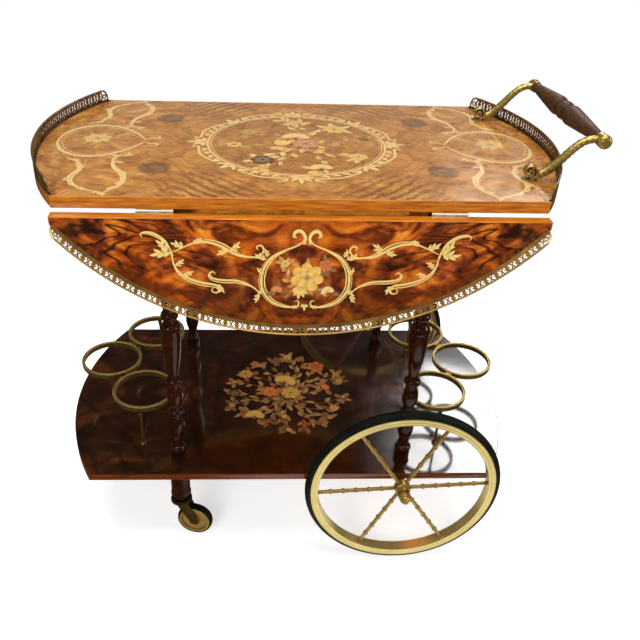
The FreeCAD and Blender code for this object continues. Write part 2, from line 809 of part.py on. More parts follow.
def make_axle():
    beam = block("axle_beam_bar", "axle_beam_width", "2 * " + BEAM_HALF, "axle_beam_height")
    place(beam, "wheel_offset_x - axle_beam_width / 2", "-" + BEAM_HALF,
          SHELF_UNDERSIDE + " - axle_beam_height")
    slot = "axle_radius + axle_groove_clearance"
    groove = block("axle_beam_groove", "2 * (%s)" % slot, "2 * " + BEAM_HALF,
                   SHELF_UNDERSIDE + " - wheel_radius + " + slot)
    place(groove, "wheel_offset_x - (%s)" % slot, "-" + BEAM_HALF, "wheel_radius - (%s)" % slot)
    keep(cut("axle_beam", beam, groove), "axle_beam")
    axle = rod("axle", "axle_radius", "2 * " + AXLE_HALF)
    keep(place(axle, "wheel_offset_x", AXLE_HALF, "wheel_radius", Z_TO_FRONT), "axle")
    spacers, caps = [], []
    for row, side, turn in (("front", "-", Z_TO_FRONT), ("rear", "", Z_TO_REAR)):
        length = "%s - %s - axle_end_gap" % (HUB_IN, BEAM_HALF)
        sleeve = "axle_drop - spacer_clearance"
        spacer = turned("spacer_" + row, [
            ("axle_radius", "0"), (sleeve, "0"), (sleeve, length), ("axle_radius", length),
        ])
        spacers.append(place(spacer, "wheel_offset_x", side + BEAM_HALF, "wheel_radius", turn))
        cap = turned("cap_" + row, [
            ("axle_radius", "0"),
            ("hub_cap_radius", "0", "hub_cap_belly"),
            ("hub_cap_radius", "hub_cap_bore", "hub_cap_belly"),
            ("hub_cap_collar", "hub_cap_bore + hub_cap_shoulder", "hub_cap_swell"),
            ("hub_cap_tip", "hub_cap_length"),
            ("0", "hub_cap_length"),
            ("0", "hub_cap_bore"),
            ("axle_radius", "hub_cap_bore"),
        ])
        start = "%s(%s + axle_end_gap)" % (side, HUB_OUT)
        caps.append(place(cap, "wheel_offset_x", start, "wheel_radius", turn))
    keep(group("axle_spacers", spacers), "axle_spacers")
    keep(group("hub_caps", caps), "hub_caps")


def spoke_seats(name):
    """Drills on the spokes' lines, from inside the hub to inside the rim."""
    start = measure("hub_radius - spoke_peg")
    length = measure(RIM_INNER + " + spoke_peg") - start
    count = int(measure("spoke_count"))
    drills = []
    for number in range(count):
        angle = 2 * math.pi * number / count
        outward = Vector(math.cos(angle), math.sin(angle), 0)
        drills.append(Part.makeCylinder(measure("spoke_peg_radius"), length, outward * start, outward))
    item = doc.addObject("Part::Feature", name)
    item.Shape = Part.makeCompound(drills)
    return item


def spoke_profile():
    """Half outline of a spoke along X: a peg, a shank with bamboo-like rings, and a peg."""
    start = "hub_radius + spoke_shoulder"
    finish = RIM_INNER + " - spoke_shoulder"
    rings = int(measure("spoke_ring_count"))
    profile = [(RIM_INNER + " + spoke_peg", "0"), (RIM_INNER + " + spoke_peg", "spoke_peg_radius")]
    profile += [(finish, "spoke_peg_radius"), (finish, "spoke_radius")]
    for number in range(rings, 0, -1):
        middle = "%s + (%s - (%s)) * %d / %d" % (start, finish, start, number, rings + 1)
        profile.append((middle + " + spoke_ring_tall / 2", "spoke_radius", "spoke_bead"))
        profile.append((middle + " - spoke_ring_tall / 2", "spoke_radius"))
    profile += [(start, "spoke_radius"), (start, "spoke_peg_radius")]
    profile += [("hub_radius - spoke_peg", "spoke_peg_radius"), ("hub_radius - spoke_peg", "0")]
    return profile


def make_wheel(row, side, turn):
    rest = turn.multiply(FreeCAD.Rotation(ABOUT_Z, measure("wheel_rest_turn")))
    at = ("wheel_offset_x", side + WHEEL_PLANE, "wheel_radius", rest)
    half = "rim_width / 2"
    groove = "rim_groove_width / 2"
    bed = RIM_OUTER + " - rim_groove"
    rim = turned(row + "_rim_ring", [
        (RIM_INNER, "-" + half, "-rim_hollow"), (RIM_INNER, half),
        (RIM_OUTER, half), (RIM_OUTER, groove), (bed, groove),
        (bed, "-" + groove), (RIM_OUTER, "-" + groove), (RIM_OUTER, "-" + half),
    ][::-1])
    keep(place(cut(row + "_rim", rim, spoke_seats(row + "_rim_seats")), *at), row + "_wheel_rim")
    tyre = turned(row + "_tyre", [
        (bed, "-" + groove), (RIM_OUTER, "-" + groove), (RIM_OUTER, "-" + half, "tyre_tall"),
        (RIM_OUTER, half), (RIM_OUTER, groove), (bed, groove),
    ])
    keep(place(tyre, *at), row + "_wheel_tyre")
    bore = "axle_radius + running_clearance"
    waist = "(hub_seat / 2 + hub_taper)"
    hub = turned(row + "_hub_core", [
        (bore, "-" + half), ("hub_waist", "-" + half), ("hub_waist", "-" + waist),
        ("hub_radius", "-hub_seat / 2"), ("hub_radius", "hub_seat / 2"),
        ("hub_waist", waist), ("hub_waist", "hub_nose"), (bore, "hub_nose"),
    ])
    keep(place(cut(row + "_hub", hub, spoke_seats(row + "_hub_seats")), *at), row + "_wheel_hub")
    body = new_body(row + "_spokes")
    sketch = new_sketch(body, row + "_spoke_profile", "XZ_Plane")
    draw(sketch, spoke_profile())
    spoke = turn_about(body, row + "_spoke", sketch, "H_Axis")
    doc.recompute()
    pattern = body.newObject("PartDesign::PolarPattern", row + "_spoke_round")
    pattern.Originals = [spoke]
    pattern.Axis = (origin_feature(body, "Z_Axis"), [""])
    pattern.Angle = 360
    bind(pattern, "Occurrences", "spoke_count")
    body.Tip = pattern
    keep(place(body, *at), row + "_wheel_spokes")


# Bottle racks

RING_FOOT = "(%s + ring_height)" % SHELF_TOP


def make_ring(name):
    inner = "ring_outer_radius - ring_band"
    return turned(name, [
        (inner, "0"),
        ("ring_outer_radius", "0", "ring_crown"),
        ("ring_outer_radius", "ring_tall"),
        (inner, "ring_tall"),
    ])


def make_rack(end, side):
    """Three rings in a row around the end of the shelf, on a rod at the front and one at the back."""
    middle = place(make_ring("ring_%s_middle" % end), side + "middle_ring_x", "0", RING_FOOT)
    links, neighbours, rods = [middle], [], []
    for row, hand in (("front", "-"), ("rear", "")):
        ring = make_ring("ring_%s_%s" % (end, row))
        place(ring, side + "side_ring_x", hand + "side_ring_y", RING_FOOT)
        keep(ring, "bottle_ring_%s_%s" % (end, row))
        link = rod("link_%s_%s" % (end, row), "ring_link_radius", "ring_tall")
        place(link, side + "(middle_ring_x + side_ring_x) / 2", hand + "side_ring_y / 2", RING_FOOT)
        links.append(link)
        space = rod("space_%s_%s" % (end, row), "ring_outer_radius + ring_crown", "ring_tall")
        neighbours.append(place(space, side + "side_ring_x", hand + "side_ring_y", RING_FOOT))
        post = turned("rod_%s_%s" % (end, row), [
            ("0", "0"), ("rod_foot_radius", "0"), ("rod_foot_radius", "rod_foot_edge"),
            ("rod_radius", "rod_foot_tall"), ("rod_radius", "ring_height - rod_collar_tall"),
            ("rod_collar_radius", "ring_height - rod_collar_edge"),
            ("rod_collar_radius", "ring_height"), ("0", "ring_height"),
        ])
        post_y = hand + "(side_ring_y + ring_outer_radius - ring_band / 2)"
        rods.append(place(post, side + "side_ring_x", post_y, SHELF_TOP))
    core = rod("core_%s" % end, "ring_outer_radius - ring_band", "ring_tall")
    neighbours.append(place(core, side + "middle_ring_x", "0", RING_FOOT))
    solid = fuse("rack_%s_middle" % end, links)
    trimmed = cut("rack_%s_trimmed" % end, solid, fuse("rack_%s_spaces" % end, neighbours))
    keep(trimmed, "bottle_ring_%s_middle" % end)
    keep(group("rods_%s" % end, rods), "bottle_rack_rods_" + end)


# Push handle

ARM_X = "(top_half_length - handle_foot_inset)"
EYE_X = "(%s + handle_reach)" % ARM_X
GRIP_HEIGHT = "(top_height + handle_rise)"
GRIP_HALF = "(handle_arm_y - eye_width / 2)"


def make_handle_arm(label, y):
    """A bent brass arm: level from its scroll foot, up a slope, level again at its eye.

    Both bends turn by the slope's angle, and the upper bend and the straight run between them are
    worked out so that the arm ends at the grip."""
    rise = "(handle_rise - arm_start_height)"
    flat = "(1 - cos(arm_slope))"
    bends = "((handle_reach * sin(arm_slope) - %s * cos(arm_slope)) / %s)" % (rise, flat)
    upper = "(%s - arm_lower_radius)" % bends
    first = ("arm_lower_radius * sin(arm_slope)", "arm_start_height + arm_lower_radius * " + flat)
    second = ("handle_reach - %s * sin(arm_slope)" % upper, "handle_rise - %s * %s" % (upper, flat))
    half_flat = "(1 - cos(arm_slope / 2))"
    body = new_body(label + "_casting")
    path = new_sketch(body, label + "_path", "XZ_Plane")
    draw(path, [
        ("0", "arm_start_height", "arm_lower_radius * " + half_flat),
        first,
        second + ("-%s * %s" % (upper, half_flat),),
        ("handle_reach", "handle_rise"),
    ], closed=False)
    section = new_sketch(body, label + "_section", "YZ_Plane")
    draw_round(section, "0", "arm_start_height", "arm_radius")
    pipe = body.newObject("PartDesign::AdditivePipe", label + "_bar")
    pipe.Profile = section
    pipe.Spine = path
    half_scroll = "-scroll_width / 2"
    scroll = new_sketch(body, label + "_scroll_outline", "XZ_Plane", half_scroll)
    draw_round(scroll, "0", "scroll_radius", "scroll_radius")
    pad(body, label + "_scroll", scroll, "scroll_width")
    eye = new_sketch(body, label + "_eye_outline", "XZ_Plane", "-eye_width / 2")
    draw_round(eye, "handle_reach", "handle_rise", "eye_radius")
    pad(body, label + "_eye", eye, "eye_width")
    foot = new_sketch(body, label + "_foot_outline", "XY_Plane")
    draw_round(foot, "0", "0", "scroll_foot_radius")
    pad(body, label + "_foot", foot, "scroll_foot_tall")
    drill = rod(label + "_drill", "handle_bolt_radius", "2 * eye_width")
    place(drill, "handle_reach", "eye_width", "handle_rise", Z_TO_FRONT)
    arm = cut(label + "_drilled", body, drill)
    keep(place(arm, ARM_X, y, "top_height"), label)


def make_grip():
    """A turned grip: two long pears, narrow at the ferrules, meeting at a bead in the middle."""
    half_bead = "grip_bead_length / 2"
    neck_from = "(%s)" % half_bead
    swell_at = "(%s + grip_shoulder)" % neck_from
    bore = "handle_bolt_radius + tenon_clearance"
    upper = [
        ("grip_neck_radius", neck_from, "grip_shoulder_bow"),
        ("grip_swell_radius", swell_at, "grip_swell_bow"),
        ("grip_end_radius", GRIP_HALF + " - grip_ferrule"),
        ("grip_end_radius", GRIP_HALF),
    ]
    lower = [
        ("grip_end_radius", "-" + GRIP_HALF),
        ("grip_end_radius", "grip_ferrule - " + GRIP_HALF, "grip_swell_bow"),
        ("grip_swell_radius", "-" + swell_at, "grip_shoulder_bow"),
        ("grip_neck_radius", "-" + neck_from, "grip_bead_radius - grip_neck_radius"),
    ]
    body = turned("handle_grip", [(bore, "-" + GRIP_HALF)] + lower + upper + [(bore, GRIP_HALF)])
    keep(place(body, EYE_X, "0", GRIP_HEIGHT, Z_TO_FRONT), "handle_grip")


def make_handle():
    make_handle_arm("handle_arm_front", "-handle_arm_y")
    make_handle_arm("handle_arm_rear", "handle_arm_y")
    make_grip()
    outer = "(handle_arm_y + eye_width / 2)"
    bolt = rod("handle_bolt", "handle_bolt_radius", "2 * (%s + cap_bore)" % outer)
    keep(place(bolt, EYE_X, "%s + cap_bore" % outer, GRIP_HEIGHT, Z_TO_FRONT), "handle_bolt")
    caps = []
    for row, side, turn in (("front", "-", Z_TO_FRONT), ("rear", "", Z_TO_REAR)):
        cap = turned("handle_cap_" + row, [
            ("handle_bolt_radius", "0"), ("cap_radius", "0"), ("cap_radius", "cap_bore", "cap_dome"),
            ("cap_tip", "cap_length"), ("0", "cap_length"), ("0", "cap_bore"),
            ("handle_bolt_radius", "cap_bore"),
        ])
        caps.append(place(cap, EYE_X, side + outer, GRIP_HEIGHT, turn))
    keep(group("handle_caps", caps), "handle_caps")


# Build everything

make_table_top()
make_leaf("front_leaf", "-", HANG_FRONT)
make_leaf("rear_leaf", "", HANG_REAR)
make_shelf()
make_galleries()
make_hinges("front_hinge", "-", FreeCAD.Rotation(), HANG_FRONT, "front_leaf")
make_hinges("rear_hinge", "", HALF_TURN, HANG_REAR, "rear_leaf")
make_apron()
make_lopers()
make_battens()
make_legs()
make_casters()
make_axle()
make_wheel("front", "-", Z_TO_FRONT)
make_wheel("rear", "", Z_TO_REAR)
make_rack("left", "-")
make_rack("right", "")
make_handle()
doc.recompute()

# Nothing is written unless every object is sound
faults = [item.Name for item in doc.Objects if {"Invalid", "Error"} & set(item.State)]
for node in nodes:
    if node.Shape.isNull() or not node.Shape.isValid() or not node.Shape.Solids:
        faults.append(node.Label)
if faults:
    raise RuntimeError("these objects failed: " + ", ".join(sorted(set(faults))))

os.makedirs("parts", exist_ok=True)
for node in nodes:
    node.Shape.exportStep("parts/%s.step" % node.Label)
print("wrote %d sub-parts" % len(nodes))
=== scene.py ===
# %% [markdown]
# # Dressing a drop-leaf bar cart
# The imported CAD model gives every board, leg, wheel and hinge in metres, in one frame. This
# lesson keeps those solids where they are and adds what they lack: figured veneer, flower
# marquetry, pierced brass galleries, chased handle arms, and a camera at the viewing angle of the
# picture.

# %% Load the frame
import bpy
import bmesh
import random
from math import asin, atan2, cos, hypot, pi, radians, sin
from mathutils import Matrix, Vector


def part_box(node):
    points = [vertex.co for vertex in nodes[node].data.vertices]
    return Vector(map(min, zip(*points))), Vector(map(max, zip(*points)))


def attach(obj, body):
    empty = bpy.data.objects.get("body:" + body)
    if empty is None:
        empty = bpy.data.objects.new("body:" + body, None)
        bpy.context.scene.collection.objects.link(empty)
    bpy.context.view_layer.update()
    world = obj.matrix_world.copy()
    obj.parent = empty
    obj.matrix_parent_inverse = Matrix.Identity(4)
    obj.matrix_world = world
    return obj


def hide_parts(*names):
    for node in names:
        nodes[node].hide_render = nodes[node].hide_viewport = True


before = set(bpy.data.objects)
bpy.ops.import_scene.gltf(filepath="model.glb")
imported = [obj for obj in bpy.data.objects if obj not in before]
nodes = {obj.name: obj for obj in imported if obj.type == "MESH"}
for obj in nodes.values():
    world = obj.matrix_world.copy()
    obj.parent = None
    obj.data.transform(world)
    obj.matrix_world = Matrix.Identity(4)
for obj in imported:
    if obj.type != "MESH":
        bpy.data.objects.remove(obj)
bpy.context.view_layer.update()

MM = 0.001


def show(name, data):
    """Put a mesh, a lamp or a camera into the scene as an object."""
    item = bpy.data.objects.new(name, data)
    bpy.context.scene.collection.objects.link(item)
    return item


# %% [markdown]
# ## The camera
# The picture was taken from in front of the cart, a little to its left, looking down by about 32
# degrees. Straight edges, wheel and legs were fitted to find the place, the angles and the focal
# length. The picture is a crop, so its optical centre isn't in the middle: a small lens shift does
# that.

# %% Camera
CAMERA_PLACE = Vector((-0.0675, -1.1745, 1.1147))
PITCH, YAW, ROLL = 0.553, 0.054, -0.034
FOCAL_PIXELS, CENTRE_PIXELS, PICTURE = 724.7, (288.3, 312.1), 640

forward = Vector((sin(YAW) * cos(PITCH), cos(YAW) * cos(PITCH), -sin(PITCH)))
level = Vector((cos(YAW), -sin(YAW), 0))
down = forward.cross(level)
side = cos(ROLL) * level + sin(ROLL) * down
up = sin(ROLL) * level - cos(ROLL) * down

lens = bpy.data.cameras.new("camera")
lens.sensor_width = 36
lens.lens = FOCAL_PIXELS / PICTURE * lens.sensor_width
lens.shift_x = (PICTURE / 2 - CENTRE_PIXELS[0]) / PICTURE
lens.shift_y = (CENTRE_PIXELS[1] - PICTURE / 2) / PICTURE
camera = show("camera", lens)
axes = Matrix((side, up, -forward)).transposed().to_4x4()
camera.matrix_world = Matrix.Translation(CAMERA_PLACE) @ axes
bpy.context.scene.camera = camera
print("camera lens %.1f mm, shift %.3f %.3f" % (lens.lens, lens.shift_x, lens.shift_y))

# %% [markdown]
# ## Node helpers
# A procedural finish is a small network of nodes. These helpers add a node with its values or
# links in one line. Colours are written as the 0 to 255 numbers of a paint chart and turned into
# the linear light that shaders expect.

# %% Node helpers
WHITE = (1, 1, 1, 1)


def paint(red, green, blue):
    def linear(value):
        value /= 255
        return value / 12.92 if value <= 0.04045 else ((value + 0.055) / 1.055) ** 2.4
    return (linear(red), linear(green), linear(blue), 1.0)


def grey(value):
    return (value, value, value, 1)


def is_socket(value):
    return isinstance(value, bpy.types.NodeSocket)


def plug(node, sockets):
    """Give each socket a number, a colour or the output of another node."""
    for name, value in sockets.items():
        if is_socket(value):
            node.id_data.links.new(value, node.inputs[name])
        else:
            node.inputs[name].default_value = value


def add(kind, sockets, tree=None, **settings):
    """Add a node beside those that feed it: a socket knows which tree it belongs to."""
    tree = tree or next(value.id_data for value in sockets.values() if is_socket(value))
    node = tree.nodes.new("ShaderNode" + kind)
    for name, value in settings.items():
        setattr(node, name, value)
    plug(node, sockets)
    return node.outputs


def calc(operation, first, second=0.0, clamp=False):
    return add("Math", {0: first, 1: second}, operation=operation, use_clamp=clamp)[0]


def times(first, second):
    return calc("MULTIPLY", first, second)


def plus(first, second):
    return calc("ADD", first, second)


def span(value, low, high, to_low=0.0, to_high=1.0, smooth=False):
    """Stretch a value from one range to another and hold it inside."""
    ends = {"From Min": low, "From Max": high, "To Min": to_low, "To Max": to_high}
    kind = "SMOOTHSTEP" if smooth else "LINEAR"
    return add("MapRange", {"Value": value, **ends}, interpolation_type=kind)["Result"]


def blend(factor, under, over, how="MIX"):
    return add("Mix", {0: factor, 6: under, 7: over}, data_type="RGBA", blend_type=how)[2]


def ramp(factor, *stops):
    node = factor.id_data.nodes.new("ShaderNodeValToRGB")
    elements = node.color_ramp.elements
    while len(elements) < len(stops):
        elements.new(0.5)
    for element, (place, colour) in zip(elements, stops):
        element.position = place
        element.color = colour
    plug(node, {"Fac": factor})
    return node.outputs["Color"]


def vector(operation, first, second=(0, 0, 0), out="Vector"):
    return add("VectorMath", {0: first, 1: second}, operation=operation)[out]


def stretch(where, factors):
    return vector("MULTIPLY", where, factors)


def distance(first, second):
    return vector("DISTANCE", first, second, "Value")


def parts(where):
    return add("SeparateXYZ", {0: where})


def noise(where, scale, detail=3.0, roughness=0.5, distortion=0.0, out="Fac"):
    values = {"Scale": scale, "Detail": detail, "Roughness": roughness, "Distortion": distortion}
    return add("TexNoise", {"Vector": where, **values})[out]


def relief(height, strength, depth):
    return add("Bump", {"Height": height, "Strength": strength, "Distance": depth})["Normal"]


finishes = {}


def new_finish(name):
    """Start a material: gives its shader and the object's own coordinates in metres."""
    material = finishes[name] = bpy.data.materials.new(name)
    material.use_nodes = True
    tree = material.node_tree
    return tree.nodes["Principled BSDF"], add("TexCoord", {}, tree)["Object"]


def new_group(name, **sockets):
    """A node group with inputs and outputs of named kinds, and what stands at its two ends."""
    tree = bpy.data.node_groups.new(name, "ShaderNodeTree")
    for way, kinds in sockets.items():
        for label, kind in kinds.items():
            tree.interface.new_socket(label, in_out=way.upper(), socket_type="NodeSocket" + kind)
    return tree, tree.nodes.new("NodeGroupInput").outputs, tree.nodes.new("NodeGroupOutput")


print("paint chart white is", paint(255, 255, 255))

# %% [markdown]
# ## Floor and light
# Lacquer and brass show what they reflect, so the room matters as much as the lamps. One lamp
# whitens the floor, one lights the hanging leaf and leaves no mirror image, a small one puts
# sparks on the lacquer, and a window glares on the shelf. The sky is pale low down, which gives
# the top its haze. Far out the floor glows, so no horizon shows. Mirrored rays see a white floor
# only beside the wheels, which need it for their gleam.

# %% Floor and light
def lamp(name, place, target, size, watts, colour=(1, 1, 1), mirrored=True):
    data = bpy.data.lights.new(name, "AREA")
    data.shape = "RECTANGLE"
    data.size, data.size_y = size
    data.energy = watts
    data.color = colour
    item = show(name, data)
    item.location = place
    item.rotation_euler = (Vector(target) - Vector(place)).to_track_quat("-Z", "Y").to_euler()
    item.visible_glossy = mirrored


lamp("lamp_over", (0, 0.1, 3.0), (0, 0, 0), (2.6, 2.6), 70)
lamp("lamp_front", (-1.0, -2.4, 1.7), (0, 0, 0.45), (1.4, 1.4), 33, mirrored=False)
lamp("lamp_spark", (-1.1, -2.4, 1.6), (0, 0, 0.45), (0.45, 0.7), 5)
lamp("lamp_side", (2.6, -0.8, 1.4), (0, 0, 0.5), (0.9, 1.6), 16, (1.0, 0.97, 0.92))
lamp("lamp_window", (1.37, 2.5, 2.55), (0.3, 0, 0.2), (0.8, 0.9), 22)

SKY = [(0.0, 0.1), (0.27, 0.25), (0.39, 0.12), (0.53, 0.03), (0.82, 0.025), (1.0, 0.5)]
WARM = (1.0, 0.93, 0.8)
world = bpy.data.worlds.new("studio")
world.use_nodes = True
tree = world.node_tree
height = parts(add("TexCoord", {}, tree)["Generated"])["Z"]
glow = ramp(height, *[(place, tuple(value * part for part in WARM) + (1,)) for place, value in SKY])
seen = add("LightPath", {}, tree)["Is Camera Ray"]
plug(tree.nodes["Background"], {"Color": blend(seen, glow, WHITE)})
bpy.context.scene.world = world
bpy.context.scene.view_settings.view_transform = "Standard"

FLOOR_HALF, GLOW_REACH, NEAR_GLOW, BLACK = 30.0, (0.4, 1.6), grey(0.62), (0, 0, 0, 1)
DIM, MIRROR_WHITE = (0.06, 0.034, 0.014, 1), (0.75, 0.72, 0.66, 1)
MIRROR_SPOT, MIRROR_FADE = (0.25, 0.42, 0), (0.28, 0.44)
floor_mesh = bpy.data.meshes.new("floor")
corners = [(FLOOR_HALF * x, FLOOR_HALF * y, 0) for x, y in ((-1, -1), (1, -1), (1, 1), (-1, 1))]
floor_mesh.from_pydata(corners, [], [(0, 1, 2, 3)])
floor = show("floor", floor_mesh)
shader, where = new_finish("pale_floor")
fade = span(vector("LENGTH", where, out="Value"), *GLOW_REACH, smooth=True)
tint = ramp(noise(where, 3.0, 2.0), (0.3, grey(0.9)), (0.7, grey(0.94)))
mirrored_ray = add("LightPath", {}, shader.id_data)["Is Glossy Ray"]
split = parts(where)
either_side = add("CombineXYZ", {"X": split["X"], "Y": calc("ABSOLUTE", split["Y"])})[0]
beside = span(distance(either_side, MIRROR_SPOT), *MIRROR_FADE, smooth=True)
seen_floor, mirrored_floor = blend(fade, NEAR_GLOW, WHITE), blend(beside, MIRROR_WHITE, DIM)
plug(shader, {
    "Base Color": blend(calc("MAXIMUM", mirrored_ray, fade), tint, BLACK),
    "Emission Color": blend(mirrored_ray, seen_floor, mirrored_floor),
    "Emission Strength": 1.0, "Roughness": 0.8, "Specular IOR Level": 0.0})
floor_mesh.materials.append(finishes["pale_floor"])
print("%d lamps and a floor %.0f m wide" % (len(bpy.data.lights), 2 * FLOOR_HALF))

# %% [markdown]
# ## Figured wood
# Burl and crotch veneers show clouds of light and dark, wandering growth lines and fine fibre.
# One group gives all three as masks: noise, a wave pushed about by noise, and noise stretched
# along the grain. Each board mixes its own colours from them, so the group is built once.

# %% Wood groups
def wave(where, scale, distortion, detail, detail_scale):
    values = {"Scale": scale, "Distortion": distortion, "Detail": detail,
              "Detail Scale": detail_scale}
    return add("TexWave", {"Vector": where, **values}, bands_direction="DIAGONAL")["Fac"]


figured_wood, given, out = new_group(
    "figured_wood",
    input={"Coord": "Vector", "Size": "Float", "Swirl": "Float", "Lines": "Float",
           "Grain": "Vector"},
    output={"Figure": "Float", "Line": "Float", "Fibre": "Float"})
where, size = given["Coord"], given["Size"]
drift = noise(where, times(size, 0.7), 2.0, out="Color")
centred = vector("SUBTRACT", drift, (0.5, 0.5, 0.5))
pushed = vector("ADD", where, stretch(centred, (0.16, 0.16, 0.16)))
plug(out, {"Figure": noise(where, size, 4.0, 0.55, given["Swirl"]),
           "Line": wave(pushed, given["Lines"], 2.5, 3.0, 2.0),
           "Fibre": noise(stretch(pushed, given["Grain"]), 1.0, 4.0, 0.6)})

# polish marks and a faint ripple, as on brushed and rubbed lacquer
lacquer_film, given, out = new_group(
    "lacquer_film", input={"Coord": "Vector", "Low": "Float", "High": "Float"},
    output={"Roughness": "Float", "Ripple": "Float"})
marks = span(noise(given["Coord"], 14.0, 6.0, 0.65), 0.35, 0.7)
reach = calc("SUBTRACT", given["High"], given["Low"])
rough = plus(given["Low"], times(marks, reach))
plug(out, {"Roughness": rough, "Ripple": noise(given["Coord"], 35.0, 1.0)})


def figure(where, size, swirl, lines, grain):
    values = {"Size": size, "Swirl": swirl, "Lines": lines, "Grain": grain}
    return add("Group", {"Coord": where, **values}, node_tree=figured_wood)


def lacquer(shader, where, low, high, coat, ripple=0.0, blur=0.03):
    """Put a clear film over a wood: varied roughness below, a sharp even coat above."""
    film = add("Group", {"Coord": where, "Low": low, "High": high}, node_tree=lacquer_film)
    plug(shader, {"Roughness": film["Roughness"], "Coat Weight": coat, "Coat Roughness": blur})
    if ripple:
        plug(shader, {"Normal": relief(film["Ripple"], ripple, 0.001)})


print("wood groups:", figured_wood.name, lacquer_film.name)

# %% [markdown]
# ## Veneer of the top, the leaves and the shelf
# A cabinet maker lays sheets cut from one block mirror-wise, so the figure repeats on both sides
# of each joint. The shader does the same by taking the absolute value of the coordinates. The
# narrow edges carry plain straight-grained wood; the object-space normal tells face from edge.

# %% Veneers
def spot(where, centre, radius, soft):
    """1 inside a round area of the veneer, 0 outside it."""
    return span(distance(where, centre), radius + soft, radius - soft, smooth=True)


def matched_veneer(name, flat, squeeze, numbers, tones, line, fine, share):
    """Book-matched sheets. numbers go to the figure, tones to its clouds, line holds (from, share,
    tone) of the growth lines, fine the shade of the fibre and share its strength."""
    shader, where = new_finish(name)
    matched = stretch(vector("ABSOLUTE", where), flat)
    look = figure(stretch(matched, squeeze) if squeeze else matched, *numbers)
    colour = ramp(look["Figure"], *tones)
    colour = blend(span(look["Line"], line[0], 1.0, 0.0, line[1]), colour, line[2])
    colour = blend(share, colour, ramp(look["Fibre"], *fine), "MULTIPLY")
    return shader, where, matched, colour


def edged(shader, where, axis, face, tint=None):
    """The face's colour on the sides square to an axis of the object, plain wood on the others."""
    fibre = noise(stretch(where, (22, 300, 300)), 1.0, 4.0, 0.6)
    tones = paint(146, 74, 12), paint(204, 120, 26), paint(232, 154, 46)
    edge = ramp(fibre, *zip((0.3, 0.55, 0.75), tones))
    if tint:
        edge = blend(1.0, edge, tint, "MULTIPLY")
    normal = parts(add("TexCoord", {}, shader.id_data)["Normal"])[axis]
    square = span(calc("ABSOLUTE", normal), 0.75, 0.9)
    plug(shader, {"Base Color": blend(square, edge, face)})


print("finishes:", *finishes)

# %% Veneer of the top
MEDALLION = 0.147
shader, where, matched, colour = matched_veneer(
    "top_veneer", (1, 1, 0), None, (12.0, 1.8, 12.0, (70, 420, 60)),
    [(0.28, paint(166, 99, 38)), (0.48, paint(208, 138, 60)), (0.7, paint(236, 172, 88))],
    (0.72, 0.26, paint(112, 64, 28)), [(0.36, (0.4, 0.34, 0.28, 1)), (0.56, WHITE)], 0.85)
ground = spot(matched, (0, 0, 0), MEDALLION, 0.001)
colour = blend(times(ground, 0.25), colour, paint(128, 82, 40))
wobble = noise(matched, 70.0, 3.0, out="Color")
shaken = vector("ADD", matched, stretch(wobble, (0.016, 0.016, 0)))
knot = spot(shaken, (0.228, 0.133, 0), 0.025, 0.005)
colour = blend(times(knot, 0.62), colour, paint(72, 44, 32))
flame = span(wave(shaken, 26.0, 3.0, 2.0, 1.2), 0.35, 0.8, 0.0, 0.62)
patch = spot(matched, (0.13, 0.22, 0), 0.07, 0.05)
colour = blend(times(patch, flame), colour, paint(84, 46, 26))
edged(shader, where, "Z", colour)
lacquer(shader, where, 0.12, 0.3, 1.0)
print("finishes:", *finishes)

# %% Veneer of the leaves
shader, where, matched, colour = matched_veneer(
    "leaf_veneer", (1, 0, 1), (0.9, 0, 1.25), (15.0, 2.0, 11.0, (40, 1, 260)),
    [(0.33, paint(58, 20, 4)), (0.46, paint(134, 54, 9)), (0.58, paint(206, 98, 16)),
     (0.73, paint(244, 150, 38))],
    (0.7, 0.35, paint(40, 15, 7)), [(0.35, (0.6, 0.55, 0.5, 1)), (0.62, WHITE)], 0.75)
split = parts(matched)
sloping = plus(split["Z"], times(split["X"], -0.3))
leaning = add("CombineXYZ", {"X": times(split["X"], 0.5), "Z": sloping})[0]
rings = calc("SINE", times(noise(leaning, 9.0, 2.5, 0.5, 0.6), 95.0))
clumps = span(noise(matched, 8.0, 2.0), 0.4, 0.56, smooth=True)
dense = times(clumps, span(split["X"], 0.06, 0.24, 0.25, 1.0))
colour = blend(times(dense, span(rings, 0.3, 0.95, 0.0, 0.88)), colour, paint(26, 10, 5))
shade = times(spot(matched, (0.1, 0, 0.545), 0.06, 0.05), 0.62)
colour = blend(shade, colour, paint(48, 18, 7))
edged(shader, where, "Y", colour)
lacquer(shader, where, 0.12, 0.28, 1.0)
print("finishes:", *finishes)

# %% Veneer of the shelf
shader, where, matched, colour = matched_veneer(
    "shelf_veneer", (1, 1, 0), None, (8.0, 1.8, 8.0, (40, 240, 40)),
    [(0.3, paint(30, 14, 7)), (0.52, paint(64, 32, 14)), (0.74, paint(116, 60, 26))],
    (0.7, 0.5, paint(22, 11, 8)), [(0.35, (0.62, 0.6, 0.58, 1)), (0.62, WHITE)], 0.6)
edged(shader, where, "Z", colour, paint(132, 104, 120))
lacquer(shader, where, 0.1, 0.24, 1.0, 0.12, 0.07)
print("finishes:", *finishes)

